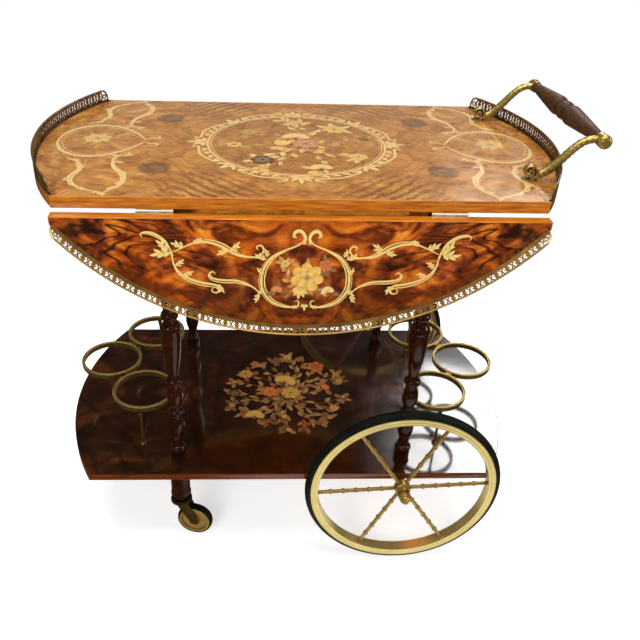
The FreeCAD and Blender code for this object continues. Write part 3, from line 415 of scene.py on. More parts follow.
# %% Plain woods
def plain_wood(name, tones, grain, low, high, coat, groove=None):
    """Straight-grained wood for turned pieces and the hidden frame. Painted shade darkens a groove
    that lies at this distance from the middle."""
    shader, where = new_finish(name)
    look = figure(where, 14.0, 0.6, 16.0, grain)
    colour = ramp(look["Fibre"], *zip((0.28, 0.5, 0.76), tones))
    shade = ramp(look["Figure"], (0.3, (0.62, 0.6, 0.6, 1)), (0.65, WHITE))
    colour = blend(0.8, colour, shade, "MULTIPLY")
    if groove:
        along = calc("ABSOLUTE", parts(where)["Y"])
        away = calc("ABSOLUTE", calc("SUBTRACT", along, groove))
        # painted shade in the groove, darkest at its middle
        colour = blend(span(away, 0.001, 0.004, 0.9, 0.0), colour, paint(18, 9, 5))
    plug(shader, {"Base Color": colour, "Specular IOR Level": 0.25})
    lacquer(shader, where, low, high, coat)


# place of the grip's groove, which gets painted shade
GRIP_GROOVE = 0.0165
MAHOGANY = paint(20, 6, 3), paint(42, 15, 6), paint(74, 28, 11)
WALNUT = paint(44, 26, 13), paint(74, 46, 25), paint(100, 66, 37)
BEECH = paint(168, 98, 36), paint(222, 140, 56), paint(240, 172, 84)
plain_wood("turned_mahogany", MAHOGANY, (170, 170, 9), 0.1, 0.2, 0.5)
plain_wood("grip_walnut", WALNUT, (170, 12, 170), 0.5, 0.6, 0.0, GRIP_GROOVE)
plain_wood("frame_beech", BEECH, (9, 130, 130), 0.4, 0.6, 0.15)
print("finishes:", *finishes)

# %% [markdown]
# ## Brass, rubber and steel
# Old brass is bright where hands rub it and brown in its hollows. The group mixes a bright and a
# dark colour by broad patches, fine specks, and the shade that ambient occlusion finds in the
# corners. Each brass gives its own values: galleries, rings and handle carry more tarnish than
# the wheels, and the galleries on the top are darkened further with painted shade.

# %% Metals and rubber
aged_brass, given, out = new_group(
    "aged_brass",
    input={"Coord": "Vector", "Size": "Float", "Tarnish": "Float", "Bright": "Color",
           "Dark": "Color"},
    output={"Color": "Color", "Roughness": "Float", "Height": "Float"})
patch = noise(given["Coord"], given["Size"], 5.0, 0.65)
speck = noise(given["Coord"], times(given["Size"], 26.0), 2.0)
corner = add("AmbientOcclusion", {"Distance": 0.005}, out.id_data, samples=6)["AO"]
hollow = span(corner, 0.9, 0.35, 0.0, 0.55)
mottle = plus(times(patch, 0.75), times(speck, 0.45))
amount = plus(calc("SUBTRACT", mottle, 0.62), given["Tarnish"])
dull = calc("ADD", times(amount, 1.5), hollow, clamp=True)
colour, rough = blend(dull, given["Bright"], given["Dark"]), span(dull, 0.0, 1.0, 0.16, 0.5)
plug(out, {"Color": colour, "Roughness": rough, "Height": speck})

GROOVE_PITCH = 0.0052
rim_low, rim_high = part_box("front_wheel_rim")
WHEEL_AXLE = ((rim_low[0] + rim_high[0]) / 2, 0, (rim_low[2] + rim_high[2]) / 2)


def brass(name, bright, dark, size, tarnish, pitting, metal=0.72, axle=None):
    """Aged brass. With an axle, turning marks run round it."""
    shader, where = new_finish(name)
    bright, dark = paint(*bright), paint(*dark)
    values = {"Size": size, "Tarnish": tarnish, "Bright": bright, "Dark": dark}
    look = add("Group", {"Coord": where, **values}, node_tree=aged_brass)
    colour, height = look["Color"], look["Height"]
    if axle:
        away = distance(stretch(where, (1, 0, 1)), axle)
        groove = calc("SINE", times(away, 2 * pi / GROOVE_PITCH))
        height = plus(times(height, 0.4), groove)
        colour = blend(span(groove, 0.4, 1.0, 0.0, 0.6), colour, dark)
    plug(shader, {"Base Color": colour, "Roughness": look["Roughness"], "Metallic": metal,
                  "Normal": relief(height, pitting, 0.0004)})


brass("antique_brass", (214, 184, 100), (92, 72, 28), 24.0, 0.3, 0.35)
brass("ring_brass", (170, 142, 74), (58, 45, 18), 60.0, 0.36, 0.8, 0.8)
brass("bead_brass", (250, 222, 138), (140, 108, 48), 60.0, 0.2, 0.5, 0.7)
brass("gallery_brass", (252, 208, 120), (100, 72, 30), 24.0, 0.26, 0.3)
# a darker copy of the gallery brass for the top galleries: painted shade
brass("shaded_gallery_brass", (176, 134, 72), (52, 37, 17), 24.0, 0.4, 0.3)
brass("wheel_brass", (242, 204, 116), (96, 68, 28), 90.0, 0.36, 0.3, 0.75)
brass("rim_brass", (255, 238, 160), (176, 136, 60), 30.0, 0.08, 0.3, 0.72, WHEEL_AXLE)
brass("hinge_brass", (244, 234, 208), (170, 150, 108), 40.0, 0.1, 0.1, 0.5)
brass("caster_brass", (150, 120, 58), (44, 35, 15), 40.0, 0.36, 0.5, 0.8)
brass("disc_brass", (236, 198, 112), (120, 92, 40), 40.0, 0.24, 0.4, 0.6)

shader, where = new_finish("tyre_rubber")
dust = noise(where, 30.0, 5.0, 0.65)
plug(shader, {"Base Color": ramp(dust, (0.3, paint(10, 12, 8)), (0.7, paint(24, 27, 19))),
              "Roughness": span(dust, 0.3, 0.7, 0.42, 0.62), "Specular IOR Level": 0.15,
              "Normal": relief(noise(where, 900.0, 2.0), 0.15, 0.0003)})

shader, where = new_finish("drawn_steel")
streak = noise(stretch(where, (400, 20, 400)), 1.0, 3.0)
plug(shader, {"Base Color": ramp(streak, (0.3, paint(120, 118, 112)), (0.7, paint(176, 174, 168))),
              "Roughness": span(streak, 0.3, 0.7, 0.28, 0.45), "Metallic": 1.0})
print("finishes:", *finishes)

# %% [markdown]
# ## Finishes on the CAD solids
# A solid whose shape is right stays and only gets its finish. The node's name says which one it
# takes. Smooth shading with a sharp-edge angle changes how light is read on the facets and moves
# no point.

# %% Finishes on the CAD solids
FINISH_WORDS = [
    ("tyre_rubber", "tyre"), ("top_veneer", "table_top"), ("shelf_veneer", "lower_shelf"),
    ("grip_walnut", "handle_grip"), ("drawn_steel", "hinge_pins axle_spacers handle_bolt"),
    ("frame_beech", "axle_beam batten apron loper"), ("turned_mahogany", "caster_foot leg_"),
    ("disc_brass", "caster_front_wheel caster_rear_wheel"), ("caster_brass", "caster"),
    ("wheel_brass", "hub"), ("rim_brass", "_rim"), ("wheel_brass", "spokes"),
    ("gallery_brass", "gallery"), ("hinge_brass", "hinge"), ("antique_brass", "handle"),
    ("ring_brass", "bottle"), ("leaf_veneer", "leaf"), ("drawn_steel", "axle"),
]
SHARP = radians(32)
used = {}
for name, item in nodes.items():
    finish = next(kind for kind, words in FINISH_WORDS
                  if any(word in name for word in words.split()))
    used[finish] = used.get(finish, 0) + 1
    item.data.materials.clear()
    item.data.materials.append(finishes[finish])
    item.data.shade_smooth()
    item.data.set_sharp_from_angle(angle=SHARP)
print("nodes by finish:", used)

# %% [markdown]
# ## Thin work: inlay and fretwork
# Marquetry and a pierced gallery are the same kind of job: flat shapes sawn from thin stock. One
# small builder sweeps a cross-section along a line drawn in a flat plane, closes both ends, and
# lays every point on a board or bends it round an arc. Each point also carries a wood tone,
# because marquetry cutters shade one side of a piece with hot sand.

# %% Lines in a flat plane
def smooth_line(points, steps=6):
    """A line through all points that bends gently at each of them."""
    line = []
    count = len(points)
    for index in range(count - 1):
        before, start = points[max(index - 1, 0)], points[index]
        finish, after = points[index + 1], points[min(index + 2, count - 1)]
        for step in range(steps):
            t = step / steps
            line.append(tuple(0.5 * (2 * b + (c - a) * t + (2 * a - 5 * b + 4 * c - d) * t * t
                                     + (3 * b - a - 3 * c + d) * t * t * t)
                              for a, b, c, d in zip(before, start, finish, after)))
    line.append(tuple(points[-1]))
    return line


def mixed(first, second, part):
    return tuple(a + (b - a) * part for a, b in zip(first, second))


def step_from(point, angle, reach):
    return (point[0] + reach * cos(angle), point[1] + reach * sin(angle))


def around(count, start=0.0):
    return [start + 2 * pi * number / count for number in range(count)]


def fan(count):
    """Numbers from -1 to 1 in even steps."""
    return [2 * number / (count - 1) - 1 for number in range(count)]


def ring_line(centre, radius, count=14):
    return [step_from(centre, 2 * pi * step / count, radius) for step in range(count + 1)]


def run_at(line, index):
    """The way the line runs at one of its points."""
    ahead, behind = line[min(index + 1, len(line) - 1)], line[max(index - 1, 0)]
    return ahead[0] - behind[0], ahead[1] - behind[1]


print("a ring has %d points" % len(ring_line((0, 0), 1)))

# %% Builder for thin work
INLAY = [(-1, -0.05), (-1, 0.06), (1, 0.06), (1, -0.05)]


class ThinWork:
    def __init__(self, step=0.0):
        self.points, self.faces, self.tones = [], [], []
        self.step, self.rise = step, 0.0

    def skin(self, rows):
        """Join rings of points with faces and close both ends."""
        first, last, ring = len(self.points), len(rows) - 1, len(rows[0])
        for row in rows:
            self.points.extend(row)
        for a in range(first, first + last * ring, ring):
            for corner in range(ring):
                after = (corner + 1) % ring
                self.faces.append((a + corner, a + after, a + ring + after, a + ring + corner))
        self.faces.append(tuple(range(first + ring - 1, first - 1, -1)))
        self.faces.append(tuple(range(first + last * ring, first + last * ring + ring)))

    def sweep(self, line, halves, tones=(WHITE, WHITE), section=INLAY):
        """section holds (across, lift) corners: across is a share of the half width at that place.
        A list of half widths or of (left, right) tones gives one for each point of the line."""
        rows = []
        self.rise += self.step
        for index, (u, v) in enumerate(line):
            run_u, run_v = run_at(line, index)
            half = halves[index] if isinstance(halves, list) else halves
            left, right = tones[index] if isinstance(tones, list) else tones
            rows.append([])
            for across, lift in section:
                reach = half * across / (hypot(run_u, run_v) or 1.0)
                rows[-1].append((u - run_v * reach, v + run_u * reach, lift + self.rise))
                self.tones.append(mixed(left, right, (across + 1) / 2))
        self.skin(rows)

    def build(self, name, lay, finish, body, slot, smooth=None):
        """Lay the points in place, turn the faces outwards, give a finish and a body to ride on."""
        mesh = bpy.data.meshes.new(name)
        mesh.from_pydata([Vector(lay(*point)) * MM for point in self.points], [], self.faces)
        if self.tones:
            tone = mesh.color_attributes.new("tone", "FLOAT_COLOR", "POINT")
            for item, colour in zip(tone.data, self.tones):
                item.color = colour
        shape = bmesh.new()
        shape.from_mesh(mesh)
        bmesh.ops.recalc_face_normals(shape, faces=shape.faces)
        shape.to_mesh(mesh)
        shape.free()
        if smooth:
            mesh.shade_smooth()
            mesh.set_sharp_from_angle(angle=radians(smooth))
        mesh.materials.append(finishes[finish])
        item = show(name, mesh)
        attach(item, body)
        return item


def laid_at(z):
    """Lays flat work on a board at this height."""
    return lambda u, v, lift: (u, v, z + lift)


print("the section of an inlaid piece is %.2f mm thick" % (INLAY[1][1] - INLAY[0][1]))

# %% [markdown]
# ## Pierced galleries
# Each gallery is a cast strip: a flange on the board, a foot rail, a row of crossed bars with a
# ring at every second crossing, and a rounded rail on top that runs down at both ends. The CAD
# strip has plain round holes, so these pieces stand for it. Two opposite waves make the bars, and
# the strip is bent round the same arc as the solid.

# %% Galleries
END_ROUND, MID, TOP_RAIL, WAVE = 16.0, 11.2, 20.6, 8.2
RAIL_STEPS, WAVE_STEPS, RING, END_RING, END_RING_Z = 120, 16, 2.3, 3.6, 9.0
BAR = [(-1, 0.2), (-1, 1.2), (-0.4, 1.5), (0.4, 1.5), (1, 1.2), (1, 0.2)]
TOP_BEAD = [(-1, 0.0), (-1, 1.5), (-0.5, 2.1), (0.5, 2.1), (1, 1.5), (1, 0.0), (0.5, -0.4),
            (-0.5, -0.4)]
# height, half thickness, back and front of the flange, of a step on it and of the foot rail
FOOT_RAILS = [(0.6, 0.6, 0.0, 4.6), (1.4, 0.4, 0.1, 3.2), (2.2, 0.8, 0.0, 2.2)]


def gallery_strip(length, pitch, bar):
    work = ThinWork()
    half = length / 2
    along = [-half + length * step / RAIL_STEPS for step in range(RAIL_STEPS + 1)]
    for height, thick, back, front in FOOT_RAILS:
        flat_bar = [(-1, back), (-1, front), (1, front), (1, back)]
        work.sweep([(u, height) for u in along], thick, section=flat_bar)
    inner = half - END_ROUND
    turns = [pi * (1 - step / 16) for step in range(9)]
    left = [(-inner + (END_ROUND - 2) * cos(t), 4 + (TOP_RAIL - 4) * sin(t)) for t in turns]
    right = [(-u, v) for u, v in reversed(left)]
    level_part = [(u, TOP_RAIL) for u in along if abs(u) < inner - 1]
    work.sweep(left + level_part + right, 1.5, section=TOP_BEAD)
    count = round(2 * inner / pitch)
    pitch = 2 * inner / count
    steps = count * WAVE_STEPS
    places = [-inner + 2 * inner * step / steps for step in range(steps + 1)]
    for sign in (1, -1):
        line = [(u, MID + sign * WAVE * sin(2 * pi * (u + inner) / pitch)) for u in places]
        work.sweep(line, bar, section=BAR)
    for number in range(count):
        middle = -inner + pitch * (number + 0.5)
        work.sweep(ring_line((middle, MID), RING), bar + 0.15, section=BAR)
        for hand in (1, -1):
            prop = [(middle, MID + hand * out) for out in (3.0, 5.4, 8.6)]
            work.sweep(prop, [0.7, 1.0, 2.2], section=BAR)
            spur = [(middle + hand * out, MID) for out in (2.9, 4.0, 5.2)]
            work.sweep(spur, [1.0, 0.8, 0.2], section=BAR)
    for hand in (1, -1):
        work.sweep(ring_line((hand * (inner + 5.5), END_RING_Z), END_RING), 1.1, section=BAR)
    return work


def add_gallery(node, body, place, half, bow, pitch, bar, finish):
    """Bend a strip round the arc over a chord of the board and stand it where the solid is."""
    radius = half * half / (2 * bow) + bow / 2
    length = 2 * radius * asin(half / radius) - 6

    def lay(u, v, lift):
        turn, out = u / radius, radius - lift
        return place(out * sin(turn), bow - radius + out * cos(turn), v)

    work = gallery_strip(length, pitch, bar)
    piece = work.build(node + "_fretwork", lay, finish, body, "antique_brass")
    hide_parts(node)
    return length


TOP_Z, TOP_HALF, TOP_WIDE, TOP_BOW = 720.0, 350.0, 237.0, 68.0
LEAF_FACE, LEAF_CHORD, LEAF_BOW = 258.4, 686.6, 165.0
# the top galleries take the darker brass copy, which paints shade on them
ON_TOP = (TOP_WIDE, TOP_BOW, 18.0, 1.45, "shaded_gallery_brass")
ON_LEAF = (TOP_HALF, LEAF_BOW, 17.5, 0.95, "gallery_brass")
ENDS, ROWS = [("left", -1), ("right", 1)], [("front", 1), ("rear", -1)]
lengths = []
for end, hand in ENDS:
    lengths.append(add_gallery(
        "top_gallery_" + end, "chassis",
        lambda x, y, z: (hand * (TOP_HALF + y), -hand * x, TOP_Z + z), *ON_TOP))
for row, way in ROWS:
    lengths.append(add_gallery(
        row + "_leaf_gallery", row + "_leaf_wing",
        lambda x, y, z: (-way * x, -way * (LEAF_FACE + z), LEAF_CHORD - y), *ON_LEAF))
print("gallery lengths in mm:", [round(value) for value in lengths])

# %% [markdown]
# ## Marquetry woods
# The inlay is cut from many light and dyed woods. Every shape carries its own tone as a colour
# attribute, and the material adds fine fibre and the same lacquer as the board around it, so the
# reflection runs on across the joint.

# %% Marquetry finish
shader, where = new_finish("inlay_wood")
tone = add("Attribute", {}, shader.id_data, attribute_name="tone")["Color"]
fibre = figure(where, 30.0, 0.5, 30.0, (180, 420, 420))["Fibre"]
grain = ramp(fibre, (0.3, (0.7, 0.66, 0.6, 1)), (0.6, WHITE))
plug(shader, {"Base Color": blend(0.35, tone, grain, "MULTIPLY")})
lacquer(shader, where, 0.12, 0.3, 1.0)

CREAM, STRAW, HONEY = paint(255, 219, 146), paint(255, 206, 112), paint(216, 160, 72)
AMBER, ROSE, CORAL = paint(214, 148, 80), paint(224, 150, 104), paint(222, 122, 62)
OLIVE, TAN, UMBER = paint(128, 104, 52), paint(150, 108, 66), paint(88, 56, 36)
EBONY = paint(100, 64, 36)
print("finishes: %d in all" % len(finishes))

# %% [markdown]
# ## Shapes of the marquetry
# A leaf is a strip that swells and closes, a scroll is a long strip with a curl, and a flower is
# rows of wide strips round a centre. Each piece lies about a thousandth of a millimetre above the
# piece before it, because two faces in the same plane would show as black flecks. Work that lies
# clear of all earlier pieces starts from the surface again.

# %% Leaves and petals
INLAY_STEP, LEAF_STEPS, PETAL_STEPS, OUTLINE = 0.0015, 7, 6, 0.5


def swell(count, half, start=0.06, finish=0.04, peak=0.45):
    """Half widths of a strip that is widest at its peak and narrow at both ends."""
    halves = []
    for step in range(count):
        t = step / (count - 1)
        rise = t / peak if t < peak else (1 - t) / (1 - peak)
        low = start if t < peak else finish
        halves.append(half * (low + (1 - low) * sin(pi / 2 * rise) ** 0.8))
    return halves


def shaded(count, dark, light, start, side):
    """Tones from a scorched base to a light tip, a little darker along one side."""
    tones = []
    for step in range(count):
        tone = mixed(dark, light, min(1.0, start + 1.1 * step / (count - 1)))
        tones.append((tone, mixed(tone, dark, side)))
    return tones


def leaflet(work, base, angle, length, half, bend, dark, light):
    line, gaps = [base], LEAF_STEPS - 1
    for step in range(gaps):
        line.append(step_from(line[-1], angle + bend * step / gaps, length / gaps))
    work.sweep(line, swell(LEAF_STEPS, half), shaded(LEAF_STEPS, dark, light, 0.5, 0.35))


def petals(work, centre, angles, start, length, half, dark, light):
    reaches = [start + length * step / (PETAL_STEPS - 1) for step in range(PETAL_STEPS)]
    halves = swell(PETAL_STEPS, half, 0.35, 0.3, 0.6)
    for angle in angles:
        line = [step_from(centre, angle, reach) for reach in reaches]
        work.sweep(line, [wide + OUTLINE for wide in halves], (dark, dark))
        work.sweep(line, halves, shaded(PETAL_STEPS, dark, light, 0.25, 0.5))


def heart(work, centre, radius, left, right):
    work.sweep(ring_line(centre, radius, 8), radius, (left, right))


print("half widths of a leaf:", [round(half, 2) for half in swell(LEAF_STEPS, 1.0)])

# %% Flowers
DAISY_PETALS = 6


def rose(work, centre, radius, light, turn):
    """Three rows of round petals, each row smaller and turned by half a petal."""
    dark = mixed(light, UMBER, 0.62)
    for row, (count, share) in enumerate(((7, 1.0), (6, 0.72), (4, 0.44))):
        size, tone = radius * share, mixed(light, CREAM, 0.18 * row)
        petals(work, centre, around(count, turn + row * 0.45), size * 0.25, size * 0.75,
               size * 2.3 / count, dark, tone)
    heart(work, centre, radius * 0.07, dark, dark)


def daisy(work, centre, radius, light, turn=0.0):
    petals(work, centre, around(DAISY_PETALS, turn), radius * 0.12, radius * 0.88,
           radius * 2.2 / DAISY_PETALS, mixed(light, UMBER, 0.6), light)
    heart(work, centre, radius * 0.12, HONEY, UMBER)


def carnation(work, centre, radius, light, turn):
    """A half-open flower seen from the side: two fans of narrow petals."""
    dark = mixed(light, AMBER, 0.8)
    leaflet(work, centre, turn + pi, radius * 0.5, radius * 0.2, 0.0, UMBER, OLIVE)
    for count, share, spread in ((9, 1.0, 1.5), (6, 0.7, 1.1)):
        angles, size = [turn + spread * lean for lean in fan(count)], radius * share
        petals(work, centre, angles, radius * 0.1, size * 0.9, size * 0.2, dark, light)


def tulip(work, centre, radius, light, turn):
    dark = mixed(light, CORAL, 0.6)
    foot = step_from(centre, turn, -radius * 0.5)
    for angle, half in ((-0.5, 0.34), (0.5, 0.34), (0.0, 0.36)):
        leaflet(work, foot, turn + angle, radius * 1.5, radius * half, -angle * 0.8, dark, light)


def stem(work, points, half, dark, light, leaf, gap, draw):
    """A thin curved stem with leaves to both sides."""
    line = smooth_line(points)
    work.sweep(line, [half * (1 - 0.5 * i / len(line)) for i in range(len(line))], (dark, light))
    travelled, hand = 0.0, 1
    for before, after in zip(line, line[1:]):
        run = (after[0] - before[0], after[1] - before[1])
        travelled += hypot(*run)
        if travelled > gap:
            travelled, hand = 0.0, -hand
            angle = atan2(run[1], run[0]) + hand * draw.uniform(0.5, 0.95)
            leaflet(work, after, angle, leaf * draw.uniform(0.75, 1.2),
                    leaf * draw.uniform(0.16, 0.26), -hand * draw.uniform(0.2, 0.8),
                    dark, mixed(light, CREAM, draw.uniform(0, 0.4)))


def bouquet(work, middle, flowers, greens, leaf, seed):
    """Stems run from the middle to every flower. The flowers lie on top of all leaves."""
    draw = random.Random(seed)
    work.rise = 0.0
    for u, v, radius, flower, light in flowers:
        run_u, run_v = u - middle[0], v - middle[1]
        dark, green = greens[draw.randrange(len(greens))]
        if hypot(run_u, run_v) > radius * 1.6:
            sag = draw.uniform(-0.22, 0.22)
            halfway = ((u + middle[0]) / 2 - sag * run_v, (v + middle[1]) / 2 + sag * run_u)
            line = [middle, halfway, (u, v)]
            stem(work, line, leaf * 0.055, dark, green, leaf, leaf * 0.62, draw)
        for number in range(4):
            angle = draw.uniform(0, 2 * pi)
            leaflet(work, step_from((u, v), angle, 0.5 * radius), angle, radius * 0.5 + leaf * 0.7,
                    leaf * 0.24, draw.uniform(-0.7, 0.7), dark, green)
    for u, v, radius, flower, light in flowers:
        flower(work, (u, v), radius, light, pi / 2 + draw.uniform(-0.5, 0.5))


print("flowers:", ", ".join(flower.__name__ for flower in (rose, daisy, carnation, tulip)))

# %% Scrolls
def curl(end, angle, turn, radius, hand, steps=10):
    """Points of a spiral that carries on a scroll from its end, winding to one hand."""
    points = []
    for step in range(steps):
        size = radius * (1 - 0.75 * step / steps)
        angle += hand * turn / steps
        end = step_from(end, angle, size * turn / steps)
        points.append(end)
    return points


def scroll(work, points, half, dark, light, twin=0.0):
    """A tapering scroll, lit on one side and scorched on the other. A twin is a thinner blade that
    leaves it to one side and comes back, as on an acanthus leaf."""
    line = smooth_line(points, 5)
    work.sweep(line, swell(len(line), half, 0.35, 0.25, 0.5), (light, mixed(light, dark, 0.45)))
    if not twin:
        return
    first, last = len(line) // 6, len(line) - len(line) // 5
    blade = []
    for index in range(first, last):
        run_u, run_v = run_at(line, index)
        reach = twin * sin(pi * (index - first) / (last - first)) / hypot(run_u, run_v)
        blade.append((line[index][0] - run_v * reach, line[index][1] + run_u * reach))
    work.sweep(blade, swell(len(blade), half * 0.5, 0.3, 0.2), (light, mixed(light, dark, 0.3)))


def mirrored(points, across, along=1):
    return [(across * u, along * v) for u, v in points]


def palmette(work, base, angle, length, count, spread, dark, light):
    """A fan of leaves, the middle one longest."""
    for lean in sorted(fan(count), key=abs, reverse=True):
        leaflet(work, base, angle + lean * spread, length * (1 - 0.35 * abs(lean)),
                length * 0.5 / (count - 0.5), lean * 0.7, dark, light)


TUFT = [(0.42, 0.44), (-0.46, 0.44), (0.36, 0.54), (-0.3, 0.54), (0.1, 0.6)]


def tuft(work, base, heading, length, hand, dark, light):
    """Short curved leaves that leave a scroll one after another, as on an acanthus."""
    for step, (lean, share) in enumerate(TUFT):
        start = step_from(base, heading, 0.12 * step * length)
        leaflet(work, start, heading + lean, length * share, length * 0.095,
                lean * 1.4 + hand * 0.4, dark, light)


print("a tuft has %d leaves" % len(TUFT))

# %% [markdown]
# ## Inlay of the top
# A round wreath frames a bouquet in the middle, and a pear-shaped frame with two strands of
# foliage fills each end. Only a quarter is drawn: the maker sawed four matching sets in one
# packet, and the loops do the same by mirroring. Seeded random numbers place the leaves, so they
# come out the same each time.

# %% Wreath of the top
def polar(radius, degrees, centre=(0, 0)):
    return step_from(centre, radians(degrees), radius)


def carried_on(line, radius, hand):
    """A curl that carries on a line past its last point."""
    (u, v), (from_u, from_v) = line[-1], line[-2]
    return curl((u, v), atan2(v - from_v, u - from_u), 4.2, radius, hand, 8)


FOURFOLD = [(across, along) for across in (1, -1) for along in (1, -1)]
dark, light, radius = paint(170, 118, 56), CREAM, MEDALLION / MM
half_light = mixed(light, HONEY, 0.5)
# length, leaves and spread
LARGE_FAN, SMALL_FAN = (33, 5, 1.05), (24, 3, 0.9)
work = ThinWork(INLAY_STEP)
work.sweep(ring_line((0, 0), radius, 120), 1.7, (light, mixed(light, dark, 0.3)))
work.sweep(ring_line((0, 0), radius - 5, 120), 0.5, (light, light))
for corner in range(0, 360, 90):
    angle = radians(corner)
    palmette(work, polar(radius + 3, corner), angle, *LARGE_FAN, dark, light)
    palmette(work, polar(radius + 2, corner + 45), angle + pi / 4, *SMALL_FAN, dark, light)
    for hand in (1, -1):
        arc = [polar(radius + 20 - 5 * abs(step - 3) / 3, corner + hand * (9 + 4 * step))
               for step in range(7)]
        start, finish = carried_on(arc[::-1], 6.0, hand), carried_on(arc, 5.0, hand)
        line = smooth_line(start[::-1] + arc + finish, 3)
        work.sweep(line, swell(len(line), 2.1, 0.5, 0.5), (light, mixed(light, dark, 0.4)))
        for step in range(4):
            place = corner + hand * (12 + 6.5 * step)
            base, heading = polar(radius + 3, place), radians(place) + hand * 1.0
            leaflet(work, base, heading, 15, 3.6, -hand * 0.5, dark, light)
            leaflet(work, base, heading - hand * 0.9, 9, 2.4, -hand * 0.3, dark, half_light)
        for place in (corner + hand * 37, corner + hand * 41):
            leaflet(work, polar(radius + 4, place), radians(place) - hand * 0.7, 15, 3.4,
                    hand * 0.7, dark, light)
print("wreath faces:", len(work.faces))

# %% End panels of the top
PEAR = [(250, 5), (272, 42), (305, 72), (341, 77), (373, 56), (388, 24), (391, 0)]
LINING = [(262, 14), (283, 42), (309, 65), (339, 69), (366, 51), (380, 22), (383, 0)]
PEAR_TIP = [(250, 5), (241, 14), (234, 13)] + curl((234, 13), 3.6, 4.4, 5.5, -1)
OUTER = [(359, 86), (338, 104), (331, 133), (338, 161), (334, 183), (313, 208), (281, 224)]
INNER = [(274, 69), (286, 86), (281, 119), (261, 154), (259, 190), (274, 215), (284, 229)]
SIDE_CURL = [(331, 120)] + curl((331, 133), 3.4, 4.6, 9.0, 1)
# line, half width, share of tan and place of the twin blade
PANEL_SCROLLS = [(PEAR, 3.4, 0, 0), (LINING, 1.1, 0.4, 0), (PEAR_TIP, 2.2, 0, 0),
                 (OUTER, 3.0, 0, 5), (INNER, 2.9, 0, -5)]
PANEL_MIDDLE, PANEL_LEAVES, PANEL_SEED = (329, 8), 9, 5
PANEL_DAISIES = [(352, 46, 8), (306, -26, 7), (356, -34, 8), (300, 40, 6)]
# place, lean and turn of the leaf tufts
PANEL_TUFTS = [
    (350, 92, 2.6, 1), (332, 120, -1.2, 1), (337, 165, 1.2, -1), (333, 184, 2.0, -1),
    (318, 203, 2.4, -1), (296, 219, 2.8, -1), (284, 98, 2.6, 1), (268, 140, 2.2, -1),
    (259, 178, 1.0, 1), (264, 200, 0.6, 1), (279, 78, -0.6, 1),
]

for across, along in FOURFOLD:
    hand = across * along
    work.rise = 0.0
    for points, half, tan, twin in PANEL_SCROLLS:
        tone = mixed(light, HONEY, tan)
        scroll(work, mirrored(points, across, along), half, dark, tone, hand * twin)
    for u, v, lean, turn in PANEL_TUFTS:
        heading = atan2(along * sin(lean), across * cos(lean))
        tuft(work, (across * u, along * v), heading, 17, hand * turn, dark, light)
    scroll(work, mirrored(SIDE_CURL, across, along), 1.5, dark, light)
    top_end, low_end = (across * 281, along * 226), (across * 271, along * 66)
    palmette(work, top_end, atan2(along, -across * 0.4), 10.5, 3, 0.8, dark, light)
    palmette(work, low_end, atan2(along * 0.4, -across), 13, 3, 0.9, dark, light)
for across in (1, -1):
    draw = random.Random(PANEL_SEED)
    middle = (across * PANEL_MIDDLE[0], PANEL_MIDDLE[1])
    for angle in around(PANEL_LEAVES):
        angle += draw.uniform(-0.2, 0.2)
        leaflet(work, step_from(middle, angle, 14), angle, draw.uniform(17, 27), 4.6,
                draw.uniform(-0.8, 0.8), UMBER, HONEY)
    rose(work, middle, 23, STRAW, 0.4)
    for u, v, size in PANEL_DAISIES:
        daisy(work, (across * u, v), size, AMBER)
print("tufts on the top:", len(PANEL_TUFTS) * len(FOURFOLD))

# %% Bouquet of the top
TOP_FLOWERS = [
    (70, 77, 22, rose, STRAW), (96, -63, 16, rose, STRAW), (33, -118, 19, carnation, CREAM),
    (-79, 53, 17, rose, HONEY), (-103, -13, 14, daisy, STRAW), (86, 6, 12, daisy, AMBER),
    (-57, -83, 19, rose, EBONY), (9, 112, 9, daisy, CREAM), (-16, 122, 8, daisy, CREAM),
    (115, 26, 9, daisy, TAN), (-54, -116, 7, daisy, STRAW), (-26, -5, 20, tulip, STRAW),
    (0, 26, 25, carnation, CREAM), (15, -4, 25, rose, ROSE),
]
TOP_GREENS = [(UMBER, HONEY), (TAN, STRAW), (UMBER, STRAW), (TAN, CREAM)]
bouquet(work, (0, -14), TOP_FLOWERS, TOP_GREENS, leaf=21, seed=11)
work.build("top_marquetry", laid_at(TOP_Z), "inlay_wood", "chassis", "burl_veneer")
print("top inlay faces:", len(work.faces))

# %% [markdown]
# ## Inlay of the leaves
# Each hanging leaf carries one long scroll design: a pear-shaped frame with a spray of flowers in
# the middle, and two scrolls to each side that meet in a leaf. The rear leaf repeats it.

# %% Inlay of the leaves
FINIAL = [(5, 660), (3, 668), (5, 676), (11, 681), (17, 679), (19, 673), (15, 671)]
FRAME_LINE = [(4, 670), (7, 663), (16, 657), (32, 650), (49, 639), (60, 622), (64, 603), (61, 584),
              (49, 567), (32, 559), (16, 557), (9, 561), (10, 568), (15, 567)]
UPPER = [(57, 637), (71, 639), (93, 641), (107, 647), (121, 656), (138, 662), (154, 662),
         (168, 657), (190, 646)]
CREST = [(189, 640), (194, 654), (200, 665), (212, 674), (224, 677), (232, 674), (230, 669)]
OUTSIDE = [(193, 648), (190, 637), (188, 626), (180, 613), (165, 603), (146, 597), (130, 594),
           (124, 587), (129, 581), (136, 584), (133, 590)]
LOWER = [(66, 579), (72, 587), (83, 595), (99, 601), (120, 602), (134, 605), (139, 611), (134, 616),
         (130, 612)]
SMALL = [(75, 640), (66, 643), (61, 651), (65, 658), (71, 656), (69, 651)]
# line, half width and place of the twin blade
LEAF_SCROLLS = [(FRAME_LINE, 1.7, -4.5), (FRAME_LINE, 0.9, 3.6), (FINIAL, 2.6, 0), (UPPER, 1.8, 5),
                (CREST, 1.6, -3), (OUTSIDE, 1.7, 4.5), (LOWER, 1.6, -4), (SMALL, 1.4, 0)]
